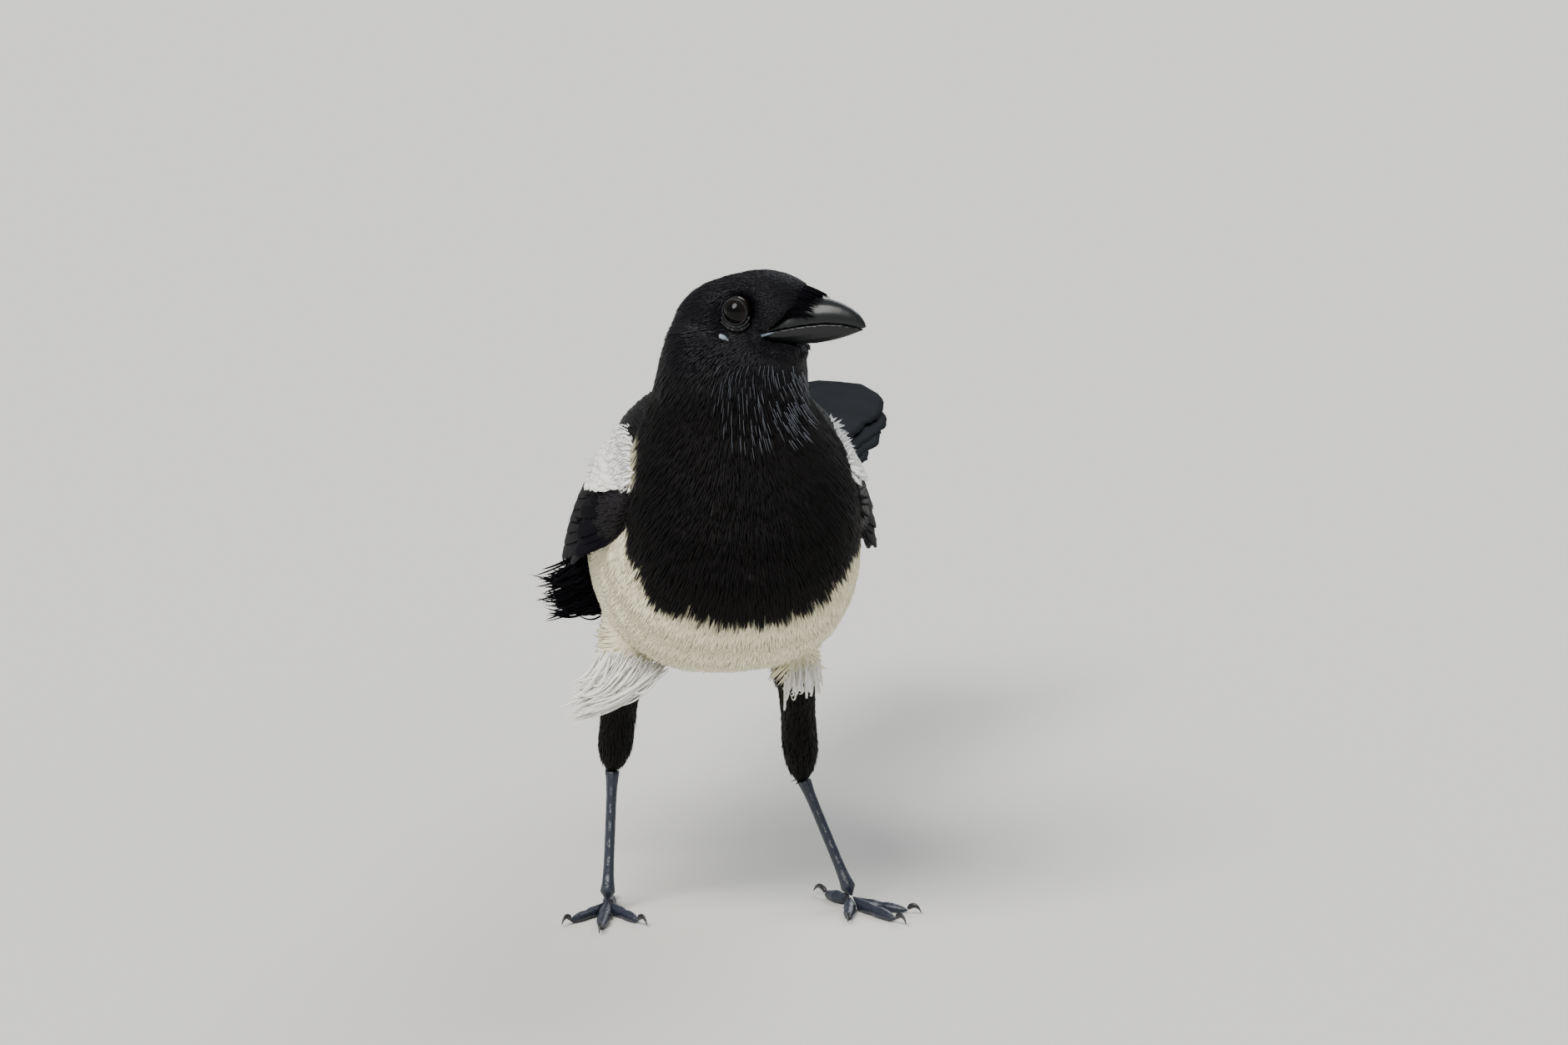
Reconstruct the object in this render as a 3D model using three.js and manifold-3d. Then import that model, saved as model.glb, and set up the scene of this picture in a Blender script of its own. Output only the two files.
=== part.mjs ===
import * as THREE from "three";
import { mergeVertices } from "three/addons/utils/BufferGeometryUtils.js";
import Module from "manifold-3d";

// Eurasian magpie standing on the ground, life size, in millimetres.
// The bird faces -Y, its left side is +X and up is +Z. It is built about a point between its feet.
// Flesh forms are smooth closed lofts that are joined and then parted with thin cuts.
// Flight and tail feathers are thin curved blades, laid in tiers and fused at their roots.

const wasm = await Module();
wasm.setup();

// Sizes that drive the rest
const GAP = 0.3;
const EYES_MIDDLE = [5.4, -21, 219];
const HEAD_YAW = 60;
const HEAD_PITCH = 9;
const EYE_RADIUS = 5.1;
const EYE_OUT = 12.1;
const EYE_OPENING = 4;
const LID_THICKNESS = 0.75;
const HEAD_CUT_Z = 197;
const NECK_CUT = { at: [0, -16, 166], lean: 62 };
const TAIL_ROOT = [0, 94, 119];
const TAIL_YAW = 25.6;
const TAIL_PITCH = 0.7;
const TAIL_ROLL = 12;
const TAIL_LENGTH = 226;
const RUMP_CUT_Y = 92;
const BLADE = 0.65;

const v3 = (x, y, z) => new THREE.Vector3(x, y, z);
const rad = THREE.MathUtils.degToRad;
const { clamp, lerp } = THREE.MathUtils;

// A spline through rows of numbers, read at t from 0 to 1; each row holds up to three values.
function rowSpline(rows) {
  const points = rows.map((row) => v3(row[0], row[1] ?? 0, row[2] ?? 0));
  const curve = new THREE.CatmullRomCurve3(points, false, "catmullrom", 0.5);
  return (t) => curve.getPoint(clamp(t, 0, 1));
}

// A closed geometry as a solid, turned so that its faces point out.
function solid(geometry) {
  const bare = new THREE.BufferGeometry();
  bare.setAttribute("position", geometry.getAttribute("position").clone());
  bare.setIndex(geometry.index);
  const merged = mergeVertices(bare, 1e-4);
  const tris = new Uint32Array(merged.index.array);
  const make = () => new wasm.Manifold(
    new wasm.Mesh({ numProp: 3, vertProperties: merged.attributes.position.array, triVerts: tris }),
  );
  if (make().volume() > 0) return make();
  for (let i = 0; i < tris.length; i += 3) [tris[i + 1], tris[i + 2]] = [tris[i + 2], tris[i + 1]];
  return make();
}

const joined = (solids) => solids.reduce((whole, piece) => whole.add(piece));

// Only the largest closed body of a solid.
function largest(whole) {
  const bodies = whole.decompose().sort((a, b) => b.volume() - a.volume());
  return bodies[0];
}

// The rings of a sphere carried to sections: place(t, angle) gives a point of the form.
function carriedSphere(place, around, along) {
  const geometry = new THREE.SphereGeometry(1, around, along);
  const position = geometry.getAttribute("position");
  for (let i = 0; i < position.count; i++) {
    const p = v3().fromBufferAttribute(position, i);
    const t = Math.acos(clamp(p.y, -1, 1)) / Math.PI;
    const atPole = Math.hypot(p.x, p.z) < 1e-6;
    const spot = place(atPole ? Math.round(t) : t, atPole ? 0 : Math.atan2(p.z, p.x));
    position.setXYZ(i, spot.x, spot.y, spot.z);
  }
  return solid(geometry);
}

const power = (x, n) => Math.sign(x) * Math.abs(x) ** n;

// Torso and neck as hoops, each from a point on the back to a point on the breast or belly.
// Columns: back y, z; belly y, z; half width; sideways shift.
const HOOPS = [
  [121, 118, 121, 118, 0, 0],
  [116, 126, 114, 108, 14, 0],
  [102, 131, 98, 101, 23, 0],
  [84, 139, 76, 95, 32, 0],
  [66, 149, 50, 89.5, 39.5, 0],
  [50, 160, 22, 86, 43.5, 0.4],
  [38, 169, -10, 87, 46.2, 0.8],
  [30, 174, -36, 98, 46.6, 1],
  [23, 177, -52, 117, 43.8, 2],
  [17, 180, -55, 137, 41.2, 2.3],
  [11, 184, -50, 157, 37.2, 1.6],
  [6, 190, -44, 174, 31.5, -0.3],
  [3, 198, -41, 187, 27.6, -1],
  [1, 206, -39, 197, 26.3, -0.6],
  [-4, 212, -36, 206, 24, -0.6],
  [-8, 218, -32, 213, 20, 0],
  [-20, 222, -20, 222, 0, 1],
];
const hoopBack = rowSpline(HOOPS.map((h) => [h[5], h[0], h[1]]));
const hoopBelly = rowSpline(HOOPS.map((h) => [h[5], h[2], h[3]]));
const hoopWidth = rowSpline(HOOPS.map((h) => [h[4]]));
const BACK_POWER = 1.88;
const BELLY_POWER = 2.45;

function bodyPoint(t, angle, grow) {
  const back = hoopBack(t);
  const belly = hoopBelly(t);
  const middle = back.clone().add(belly).multiplyScalar(0.5);
  const reach = back.clone().sub(middle);
  const size = reach.length();
  const n = Math.sin(angle) > 0 ? BACK_POWER : BELLY_POWER;
  const end = size > 0.01 ? grow : 0;
  const up = power(Math.sin(angle), 2 / n) * (size + end);
  const across = power(Math.cos(angle), 2 / n) * (hoopWidth(t).x + end);
  const lift = size > 0.01 ? reach.multiplyScalar(up / size) : v3();
  return middle.add(lift).add(v3(across, 0, 0));
}

const bodyForm = (grow = 0) => carriedSphere((t, a) => bodyPoint(t, a, grow), 24, 24);

// Head frame: x forward along the bill, y to the bird's left, z up, with its origin between the eyes.
const headPlace = new THREE.Matrix4()
  .makeRotationZ(rad(HEAD_YAW - 90))
  .multiply(new THREE.Matrix4().makeRotationY(rad(-HEAD_PITCH)))
  .setPosition(v3(...EYES_MIDDLE));
const placedOnHead = (piece) => piece.transform(headPlace.toArray());

// A form along the head's x. Columns: x, top, bottom, half width.
function headForm(rows, { around, along, grow = 0, topPower = 2, lowPower = 2 }) {
  const line = rowSpline(rows.map((r) => [r[0], r[1], r[2]]));
  const width = rowSpline(rows.map((r) => [r[3]]));
  return carriedSphere((t, angle) => {
    const s = line(t);
    const half = (s.y - s.z) / 2;
    const n = Math.sin(angle) > 0 ? topPower : lowPower;
    const end = half > 0.01 ? grow : 0;
    const across = power(Math.cos(angle), 2 / n) * (width(t).x + end);
    const up = power(Math.sin(angle), 2 / n) * (half + end);
    return v3(s.x - grow * Math.cos(Math.PI * t), across, (s.y + s.z) / 2 + up);
  }, around, along);
}

const SKULL = [
  [-30, -6, -6, 0],
  [-28, 1, -15, 8],
  [-22, 7.5, -21, 14],
  [-13, 11.4, -24, 16.6],
  [-4, 12.8, -24.5, 15.8],
  [5, 12.6, -24, 14.6],
  [14, 10.4, -22.5, 12.6],
  [20, 7, -19.5, 9.6],
  [24.5, 2.6, -16.5, 7],
  [27.5, -1.5, -14.5, 5],
  [28.5, -8, -8, 0],
];
// The bill from inside the head to its tip, slightly hooked.
const BILL = [
  [4, -8, -12, 0],
  [6, -6.5, -13, 9.2],
  [13, -3, -14.5, 8.4],
  [20, 0.2, -15.6, 7],
  [27, -0.4, -15.3, 5.4],
  [32, -1.9, -14.6, 4.1],
  [36.5, -4.7, -13.5, 2.8],
  [39.5, -8, -12.7, 1.6],
  [41, -11.9, -11.9, 0],
];
// Where the mandibles meet, from the gape to the tip, as x and z.
const MOUTH = [
  [-4, -10.6], [2.2, -10], [11, -8.7], [19.5, -8.2], [27, -8.4],
  [33, -9.4], [37.5, -11.1], [39.5, -12.1], [44, -12.6],
];

// All that lies under the mouth line, or over it, as a thick plate.
function mouthSide(down, gap) {
  const far = down ? -40 : 40;
  const shape = new THREE.Shape();
  const shift = down ? -gap : gap;
  shape.moveTo(MOUTH[0][0], far);
  MOUTH.forEach(([x, z]) => shape.lineTo(x, z + shift));
  shape.lineTo(MOUTH.at(-1)[0], far);
  const plate = new THREE.ExtrudeGeometry(shape, { depth: 40, bevelEnabled: false });
  plate.rotateX(Math.PI / 2);
  plate.translate(0, 20, 0);
  return solid(plate);
}

// A thin closed blade: place(s, t) gives { point, out, thick } for s along it and t from -1 to 1 across.
// Both faces are split alike, so that a curved blade never crosses itself.
function blade(place, along, across) {
  const points = [];
  const index = [];
  for (let i = 0; i <= along; i++)
    for (let j = 0; j <= across; j++) {
      const { point, out, thick } = place(i / along, (2 * j) / across - 1);
      const half = out.clone().multiplyScalar(thick / 2);
      points.push(point.clone().add(half), point.clone().sub(half));
    }
  const at = (i, j, low) => 2 * (i * (across + 1) + j) + low;
  const quad = (a, b, c, d) => index.push(a, b, c, a, c, d);
  for (let i = 0; i < along; i++)
    for (let j = 0; j < across; j++) {
      quad(at(i, j, 0), at(i + 1, j, 0), at(i + 1, j + 1, 0), at(i, j + 1, 0));
      index.push(at(i, j, 1), at(i + 1, j + 1, 1), at(i + 1, j, 1));
      index.push(at(i, j, 1), at(i, j + 1, 1), at(i + 1, j + 1, 1));
    }
  for (let i = 0; i < along; i++) {
    quad(at(i, 0, 0), at(i, 0, 1), at(i + 1, 0, 1), at(i + 1, 0, 0));
    quad(at(i, across, 0), at(i + 1, across, 0), at(i + 1, across, 1), at(i, across, 1));
  }
  for (let j = 0; j < across; j++) {
    quad(at(0, j, 0), at(0, j + 1, 0), at(0, j + 1, 1), at(0, j, 1));
    quad(at(along, j, 0), at(along, j, 1), at(along, j + 1, 1), at(along, j + 1, 0));
  }
  const geometry = new THREE.BufferGeometry();
  const numbers = points.flatMap((p) => p.toArray());
  geometry.setAttribute("position", new THREE.Float32BufferAttribute(numbers, 3));
  geometry.setIndex(index);
  return solid(geometry);
}

// The outline of a feather: narrow at the root, widest past the middle, round at the tip.
function featherWidth(s, tipStart = 0.8) {
  const root = Math.min(1, 0.35 + 0.65 * (s / 0.35));
  const past = Math.max(0, (s - tipStart) / (1 - tipStart));
  return root * Math.sqrt(Math.max(0.03, 1 - past ** 2.2));
}

// One feather along a path of { point, out }; roll tilts it sideways, so that neighbours lie like shingles.
function feather(path, { half, roll = 0, along = 4, tipStart = 0.8, grow = 0, thick = BLADE }) {
  return blade((s, t) => {
    const here = path(s);
    const ahead = path(s + 0.01).point.sub(path(s - 0.01).point).normalize();
    const side = ahead.clone().cross(here.out).normalize();
    const out = side.clone().cross(ahead).normalize();
    const wide = half * featherWidth(s, tipStart) + grow;
    const point = here.point.clone().addScaledVector(side, t * wide);
    point.addScaledVector(out, wide * t * roll);
    if (here.keep) here.keep(point);
    return { point, out, thick: lerp(thick, thick * 0.8, s) + 2 * grow };
  }, along, 1);
}

// The folded right wing's outer face, from the bend at u = 0 to the tip at u = 1, upper edge v = 0.
const WING_UPPER = rowSpline([
  [-33, -22, 167], [-28, 9, 179], [-21, 46, 167], [-12, 90, 145], [-12, 134, 131],
]);
const WING_LOWER = rowSpline([
  [-43, -25, 141], [-54, 8, 127], [-51, 50, 119], [-38, 94, 114], [-23, 137, 118],
]);
const WING_BULGE = rowSpline([[5], [7], [8], [6], [1]]);
// How far each wing's tip stands out sideways; the left one makes way for the turned tail.
const TIP_OUT = { right: 0, left: 17 };
const OUT_FROM = 0.35;
const SMALL_STEP = 0.02;
// The right wing lies closer to the body than the left one, most of all at half its height.
const CLOSER = { right: 1, left: 0 };
const CLOSER_BY_HEIGHT = rowSpline([[2.5], [4.2], [5], [3.6], [0.8]]);

function wingOf(side, u, v) {
  const upper = WING_UPPER(u);
  const lower = WING_LOWER(u);
  const down = lower.clone().sub(upper);
  const alongEdge = (edge) => edge(u + SMALL_STEP).sub(edge(u - SMALL_STEP));
  const ahead = alongEdge(WING_UPPER).add(alongEdge(WING_LOWER));
  const out = ahead.cross(down).normalize();
  if (out.x > 0) out.negate();
  const closer = CLOSER[side] * CLOSER_BY_HEIGHT(v).x * (1 - clamp(u, 0, 1));
  const tipOut = TIP_OUT[side] * (Math.max(0, u - OUT_FROM) / (1 - OUT_FROM)) ** 1.5;
  const bulge = WING_BULGE(u).x * 4 * v * (1 - v);
  return upper.add(down.multiplyScalar(v)).addScaledVector(out, bulge).add(v3(closer - tipOut, 0, 0));
}

function wingOut(side, u, v) {
  const along = wingOf(side, u + SMALL_STEP, v).sub(wingOf(side, u - SMALL_STEP, v));
  const down = wingOf(side, u, v + SMALL_STEP).sub(wingOf(side, u, v - SMALL_STEP));
  const out = along.cross(down).normalize();
  return out.x > 0 ? out.negate() : out;
}

// A path over the wing from root (u, v) to tip (u, v), raised by its two lifts.
function wingPath(side, [u0, v0], [u1, v1], rootLift, tipLift) {
  return (s) => {
    const u = lerp(u0, u1, s);
    const v = lerp(v0, v1, s);
    const out = wingOut(side, clamp(u, 0.03, 0.97), v);
    return { point: wingOf(side, u, v).addScaledVector(out, lerp(rootLift, tipLift, s)), out };
  };
}

// The rows of wing feathers. The first feather of a row is next to the body, the last at the lower edge.
// Columns of roots and tips: u and v of the first feather, then of the last.
const ROWS = {
  coverts: {
    count: 7, roots: [0.17, 0.22, 0.17, 0.86], tips: [0.43, 0.28, 0.37, 0.92],
    half: 6.6, lift: [-1.6, 0.6], roll: 0.17, along: 3,
  },
  alula: {
    count: 3, roots: [0.08, 0.62, 0.08, 0.86], tips: [0.25, 0.68, 0.21, 0.95],
    half: 5, lift: [-1, 2.2], roll: 0.17, along: 3,
  },
  secondaries: {
    count: 7, roots: [0.34, 0.3, 0.26, 0.74], tips: [0.66, 0.24, 0.72, 0.84],
    half: 7.6, lift: [-3, -1.9], roll: 0.16, along: 4,
  },
  primaries: {
    count: 6, roots: [0.4, 0.66, 0.24, 0.9], tips: [1.0, 0.42, 0.62, 0.96], tipEase: 1.6,
    half: 6.8, lift: [-5.6, -4.8], roll: 0.18, along: 4,
  },
};
const between = ([u0, v0, u1, v1], i, ease = 1) => [lerp(u0, u1, i ** ease), lerp(v0, v1, i)];

function wingRow(side, name, grow = 0) {
  const row = ROWS[name];
  const made = [];
  for (let k = 0; k < row.count; k++) {
    const i = k / (row.count - 1);
    const vary = 1 + 0.04 * Math.sin(5.3 * k + 1);
    const path = wingPath(side, between(row.roots, i), between(row.tips, i, row.tipEase), ...row.lift);
    made.push(feather(path, { half: row.half * vary, roll: -row.roll, along: row.along, grow }));
  }
  return joined(made);
}

// A padded patch of the wing under its coverts, from (u0, v0) to (u1, v1).
function wingPad(side, [u0, v0], [u1, v1], high, low, along, across) {
  return blade((s, t) => {
    const u = lerp(u0, u1, s);
    const v = lerp(v0, v1, (t + 1) / 2);
    const out = wingOut(side, clamp(u, 0.03, 0.97), v);
    const rimAlong = Math.sqrt(Math.max(0.06, 1 - Math.abs(2 * s - 1) ** 5));
    const rimAcross = Math.sqrt(Math.max(0.1, 1 - Math.abs(t) ** 5));
    const point = wingOf(side, u, v).addScaledVector(out, (high + low) / 2);
    return { point, out, thick: (high - low) * rimAlong * rimAcross };
  }, along, across);
}

// White shoulder feathers, fused to a pad over the shoulder and reaching down its front.
const SCAPULARS = 7;
const SCAPULAR_ROOTS = [0.08, 0.42, 0.24, 0.06];
const SCAPULAR_TIPS = [0.27, 0.58, 0.58, 0.1];
function scapularRow(side, grow = 0) {
  const made = [wingPad(side, [0.03, -0.02], [0.28, 0.46], 3 + grow, 1.3 - grow, 4, 3)];
  for (let k = 0; k < SCAPULARS; k++) {
    const i = k / (SCAPULARS - 1);
    const path = wingPath(side, between(SCAPULAR_ROOTS, i), between(SCAPULAR_TIPS, i), 2, 3);
    made.push(feather(path, { half: 6.8 - i, roll: 0.24, along: 3, grow }));
  }
  return joined(made);
}

// Tail frame: a point at (across, along, up) from the tail's root.
const TAIL_AHEAD = v3(
  Math.sin(rad(TAIL_YAW)) * Math.cos(rad(TAIL_PITCH)),
  Math.cos(rad(TAIL_YAW)) * Math.cos(rad(TAIL_PITCH)),
  Math.sin(rad(TAIL_PITCH)),
);
const TAIL_SIDE = v3(Math.cos(rad(TAIL_YAW)), -Math.sin(rad(TAIL_YAW)), 0)
  .applyAxisAngle(TAIL_AHEAD, rad(TAIL_ROLL));
const TAIL_UP = TAIL_SIDE.clone().cross(TAIL_AHEAD);
const onTail = (across, along, up) =>
  v3(...TAIL_ROOT)
    .addScaledVector(TAIL_SIDE, across)
    .addScaledVector(TAIL_AHEAD, along)
    .addScaledVector(TAIL_UP, up);

// Tiers of tail feathers from the top down: two long middle ones, then pairs that each keep to their side.
// Columns: hand, share of the length, half width, fan angle in degrees.
const TAIL_TIERS = [
  [[0.2, 1, 15.5, 0.8]],
  [[-0.2, 0.985, 15.5, 0.8]],
  ...[[0.94, 14.5, 2.2], [0.85, 13.5, 3.4], [0.75, 12.5, 4.6], [0.65, 11.5, 5.8], [0.55, 10.5, 7]]
    .map((row) => [[-1, ...row], [1, ...row]]),
];
const TIER_DROP = 1.02;

function tailFeathers(grow = 0) {
  const made = [];
  TAIL_TIERS.forEach((tier, depth) => tier.forEach(([hand, share, half, fan]) => {
    const length = TAIL_LENGTH * share;
    const sideways = Math.sign(hand);
    const path = (s) => {
      const along = length * s;
      const across = sideways * (Math.abs(hand) * 0.8 * depth + Math.tan(rad(fan)) * along);
      // A paired feather stays on its own side of the tail's middle.
      const keep = Math.abs(hand) < 1 ? null : (point) => {
        const over = GAP / 2 - grow - sideways * point.clone().sub(v3(...TAIL_ROOT)).dot(TAIL_SIDE);
        if (over > 0) point.addScaledVector(TAIL_SIDE, sideways * over);
      };
      return { point: onTail(across, along, -TIER_DROP * depth + 3 * s * s), out: TAIL_UP, keep };
    };
    made.push(feather(path, { half, roll: -0.02 * sideways, along: 5, tipStart: 0.86, grow, thick: 0.68 }));
  }));
  const root = carriedSphere((t, angle) => {
    const girth = Math.sin(Math.PI * t);
    return onTail(Math.cos(angle) * (9.5 * girth + grow), lerp(-9 - grow, 20 + grow, t),
      -3 + Math.sin(angle) * (4.6 * girth + grow));
  }, 8, 5);
  return joined([root, ...made]);
}

// Upper and lower tail coverts, rooted in the rump.
function tailCoverts(up, grow = 0) {
  const made = [];
  const side = up ? 1 : -1;
  const tiers = up ? [[3, 2, 50], [2, -10, 44]] : [[3, 2, 52], [1, -10, 44]];
  tiers.forEach(([count, start, length], tier) => {
    for (let k = 0; k < count; k++) {
      const i = count > 1 ? (2 * k) / (count - 1) - 1 : 0;
      const reach = length * (1 - 0.2 * i * i);
      const path = (s) => {
        const arched = lerp(3.4, 2.4, s) + 3 * Math.sin(Math.PI * Math.min(1, s + 0.35));
        const lift = (up ? arched : lerp(-11, -10.5, s)) + side * (1.1 * tier - 2.4 * i * i);
        return { point: onTail(i * lerp(8, 15, s), start + reach * s, lift), out: TAIL_UP };
      };
      made.push(feather(path, { half: 8, roll: side * 0.08 * i, along: 3, grow }));
    }
  });
  return made;
}

// A tube through points, each { at, wide, deep }, with the wide direction given; closed round ends.
function limb(rows, { around, along, wideWay, grow = 0 }) {
  const line = rowSpline(rows.map((r) => r.slice(0, 3)));
  const girth = rowSpline(rows.map((r) => r.slice(3, 5)));
  return carriedSphere((t, angle) => {
    const ahead = line(t + 0.01).sub(line(t - 0.01)).normalize();
    const deep = ahead.clone().cross(wideWay).normalize();
    const wide = deep.clone().cross(ahead).normalize();
    const g = girth(t);
    const end = g.x > 0.01 ? grow : 0;
    return line(t).addScaledVector(wide, Math.cos(angle) * (g.x + end))
      .addScaledVector(deep, Math.sin(angle) * (g.y + end));
  }, around, along);
}

// A row of numbers for a point part of the way from one point to another, pushed back by a little.
const partWay = (from, to, s, back = 0) =>
  [0, 1, 2].map((k) => lerp(from[k], to[k], s) + (k === 1 ? back : 0));

// Legs: hip (inside the body), heel and the joint of the toes, and which way the middle toe points.
const LEGS = {
  right: { hip: [-30, 12, 104], heel: [-33.2, 32, 48.5], foot: [-37.4, 18, 5.2], toeYaw: -14, hand: -1 },
  left: { hip: [25.5, 8, 104], heel: [32, 28, 43.5], foot: [46, 11, 5.2], toeYaw: 22, hand: 1 },
};
const SIDEWAYS = v3(1, 0, 0);

// The feathered drumstick, wider above and closing like a cuff round the heel.
function thighForm({ hip, heel }, grow = 0) {
  const at = (s, back) => partWay(hip, heel, s, back);
  return limb([
    [...at(-0.06), 0, 0],
    [...at(0), 11, 15],
    [...at(0.24, 1), 9.4, 13.4],
    [...at(0.47, 1), 6.7, 10],
    [...at(0.65, 0.5), 6.3, 8.4],
    [...at(0.81), 6.7, 7.6],
    [...at(0.93), 5.6, 6],
    [...at(1.01), 3.6, 3.8],
    [...at(1.05), 0, 0],
  ], { around: 12, along: 11, wideWay: SIDEWAYS, grow });
}

// The scaled shank with the knobs of its two joints; each ring of its front is the edge of one scute.
const SCUTES = 7;
function shankForm({ heel, foot }, grow = 0) {
  const at = (s, back) => partWay(heel, foot, s, back);
  const rows = [[...at(-0.1), 0, 0], [...at(-0.05), 2.3, 2.8]];
  for (let k = 0; k <= 2 * SCUTES; k++) {
    const s = k / (2 * SCUTES);
    const knob = 0.9 * (Math.abs(2 * s - 1) ** 5);
    const edge = k % 2 ? 0.22 : 0;
    rows.push([...at(lerp(0.04, 0.96, s), -edge), 1.85 + knob, 2.2 + knob + edge]);
  }
  rows.push([...at(1.04), 0, 0]);
  return limb(rows, { around: 8, along: rows.length - 1, wideWay: SIDEWAYS, grow });
}

// Toes: three forward, one back. Each is a row of pads that lies on the floor.
const TOES = {
  inner: { turn: 34, length: 21, half: 2.3 },
  middle: { turn: 0, length: 29, half: 2.5 },
  outer: { turn: -30, length: 22, half: 2.2 },
  hind: { turn: 180, length: 15, half: 2.6 },
};
const CLAW_LENGTH = { inner: 8, middle: 8.5, outer: 7, hind: 10.5 };

function toeLine({ foot, toeYaw, hand }, name) {
  const toe = TOES[name];
  const yaw = rad(toeYaw - hand * toe.turn);
  const way = v3(Math.sin(yaw), -Math.cos(yaw), 0);
  return { toe, way, side: v3(way.y, -way.x, 0), start: v3(foot[0], foot[1], 0).addScaledVector(way, 1.2) };
}

const FLAT = 0.35;

function toeForm(leg, name, grow = 0) {
  const { toe, way, side, start } = toeLine(leg, name);
  const joints = name === "hind" ? 2 : 3;
  return carriedSphere((t, angle) => {
    const pads = 1 + 0.13 * Math.cos(2 * Math.PI * joints * t);
    const taper = lerp(1, 0.74, t) * Math.min(1, Math.sqrt(Math.sin(Math.PI * t)) * 1.25);
    const girth = toe.half * pads * taper;
    const rise = Math.max(0, 1 - t * 4) ** 2 * 2.2;
    const z = toe.half * lerp(0.98, 0.72, t) + rise - FLAT;
    const thick = girth > 0.01 ? girth + grow : 0;
    return start.clone().addScaledVector(way, t * toe.length + grow * (2 * t - 1))
      .addScaledVector(side, Math.cos(angle) * thick)
      .add(v3(0, 0, z + Math.sin(angle) * thick));
  }, 8, 8).trimByPlane([0, 0, 1], 0);
}

function clawForm(leg, name) {
  const { toe, way, side, start } = toeLine(leg, name);
  const length = CLAW_LENGTH[name];
  const high = toe.half * 0.72 - FLAT + 0.2;
  return carriedSphere((t, angle) => {
    const least = t > 0.01 && t < 0.99 ? 0.12 : 0;
    const girth = Math.min(1, Math.sqrt(t / 0.12)) * (1 - t) ** 0.75 * 1.35 + least;
    const along = toe.length - 1.8 + length * Math.sin(t * 1.25);
    const up = high + 2.1 * Math.sin(Math.PI * Math.min(1, t * 1.08)) - high * 0.8 * t * t;
    return start.clone().addScaledVector(way, along)
      .addScaledVector(side, Math.cos(angle) * girth * 0.7)
      .add(v3(0, 0, up + Math.sin(angle) * girth));
  }, 6, 6).trimByPlane([0, 0, 1], 0.05);
}

// Long loose feathers over the thighs and vent, blown to the bird's right by the wind.
// Columns: count, start of the root line, end of it, tip drift, half width.
const TUFTS = {
  right: { count: 10, from: [-42, 2, 99], to: [-22, 2, 89.5], drift: [-19, 3, -21], spread: 8, half: 3.8 },
  left: { count: 5, from: [41, 10, 97], to: [29, -3, 90], drift: [-1, 5, -15], spread: 3, half: 3.2 },
  vent: {
    count: 7, from: [-30, 72, 100], to: [-19, 88, 104], drift: [-26, 16, -12], spread: 10, half: 4.6,
  },
};

// One tuft's locks: flat, tapered, bent away from the wind and overlapping.
function tuftLocks({ count, from, to, drift, spread, half }, grow = 0) {
  const locks = [];
  for (let k = 0; k < count; k++) {
    const i = k / (count - 1);
    const root = v3(...from).lerp(v3(...to), i);
    const vary = Math.sin(3.7 * k + 0.6);
    const stray = v3(spread * (i - 0.4), vary * 1.5, spread * 0.5 * vary);
    const tip = v3(...drift).add(stray).multiplyScalar(1 + 0.14 * vary);
    const bend = (s) => v3(0, -1.5 * Math.sin(Math.PI * s), -3 * s * (1 - s));
    const path = (s) => ({
      point: root.clone().addScaledVector(tip, s).add(bend(s)),
      out: v3(-0.35, -1, 0.1 + 0.1 * vary).normalize(),
    });
    locks.push(feather(path, { half: half * (1 + 0.12 * vary), along: 3, tipStart: 0.42, grow }));
  }
  return joined(locks);
}

// Bristles that lie forward over the nostrils, on both sides of the bill's base.
const BRISTLES = 3;
function nasalBristles() {
  const made = [];
  for (const hand of [-1, 1])
    for (let k = 0; k < BRISTLES; k++) {
      const i = k / (BRISTLES - 1);
      const path = (s) => {
        const x = lerp(17, 29 - 2.5 * i, s);
        const around = lerp(0.35, 1.15, i);
        const wide = lerp(9.2, 5.9, s);
        const y = hand * wide * Math.sin(around) * 1.02;
        const rootHigh = -8 + 13.2 * Math.cos(around * 1.05);
        const tipHigh = -9.2 + 10.4 * Math.cos(around);
        const z = lerp(rootHigh, tipHigh, s) + 0.9 * Math.sin(Math.PI * s);
        const out = v3(0.1, hand * Math.sin(around), Math.cos(around)).normalize();
        return { point: v3(x, y, z), out };
      };
      made.push(feather(path, { half: 2.3, along: 3, tipStart: 0.5, thick: 0.8 }));
    }
  return joined(made);
}

const eyeball = (hand, grow = 0) =>
  solid(new THREE.SphereGeometry(EYE_RADIUS + grow, 12, 9).translate(0, hand * EYE_OUT, 0));

function lidRing(hand) {
  const out = Math.sqrt(EYE_RADIUS ** 2 - EYE_OPENING ** 2);
  const ring = new THREE.TorusGeometry(EYE_OPENING + 0.3, LID_THICKNESS, 5, 14).rotateX(Math.PI / 2);
  return solid(ring.translate(0, hand * (EYE_OUT + out), 0));
}

// Everything of flesh as one form, before the cuts.
const headFlesh = () => placedOnHead(joined([
  headForm(SKULL, { around: 18, along: 13 }),
  nasalBristles(),
  lidRing(1),
  lidRing(-1),
]));

const bill = headForm(BILL, { around: 14, along: 12, topPower: 1.9, lowPower: 2 });
const grownBill = placedOnHead(headForm(BILL, { around: 14, along: 12, grow: GAP, topPower: 1.9 }));
const bothEyes = (grow) => placedOnHead(eyeball(1, grow).add(eyeball(-1, grow)));

const lean = rad(NECK_CUT.lean);
const neckWay = [0, -Math.cos(lean), Math.sin(lean)];
const neckOffset = NECK_CUT.at.reduce((sum, value, i) => sum + value * neckWay[i], 0);

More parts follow.
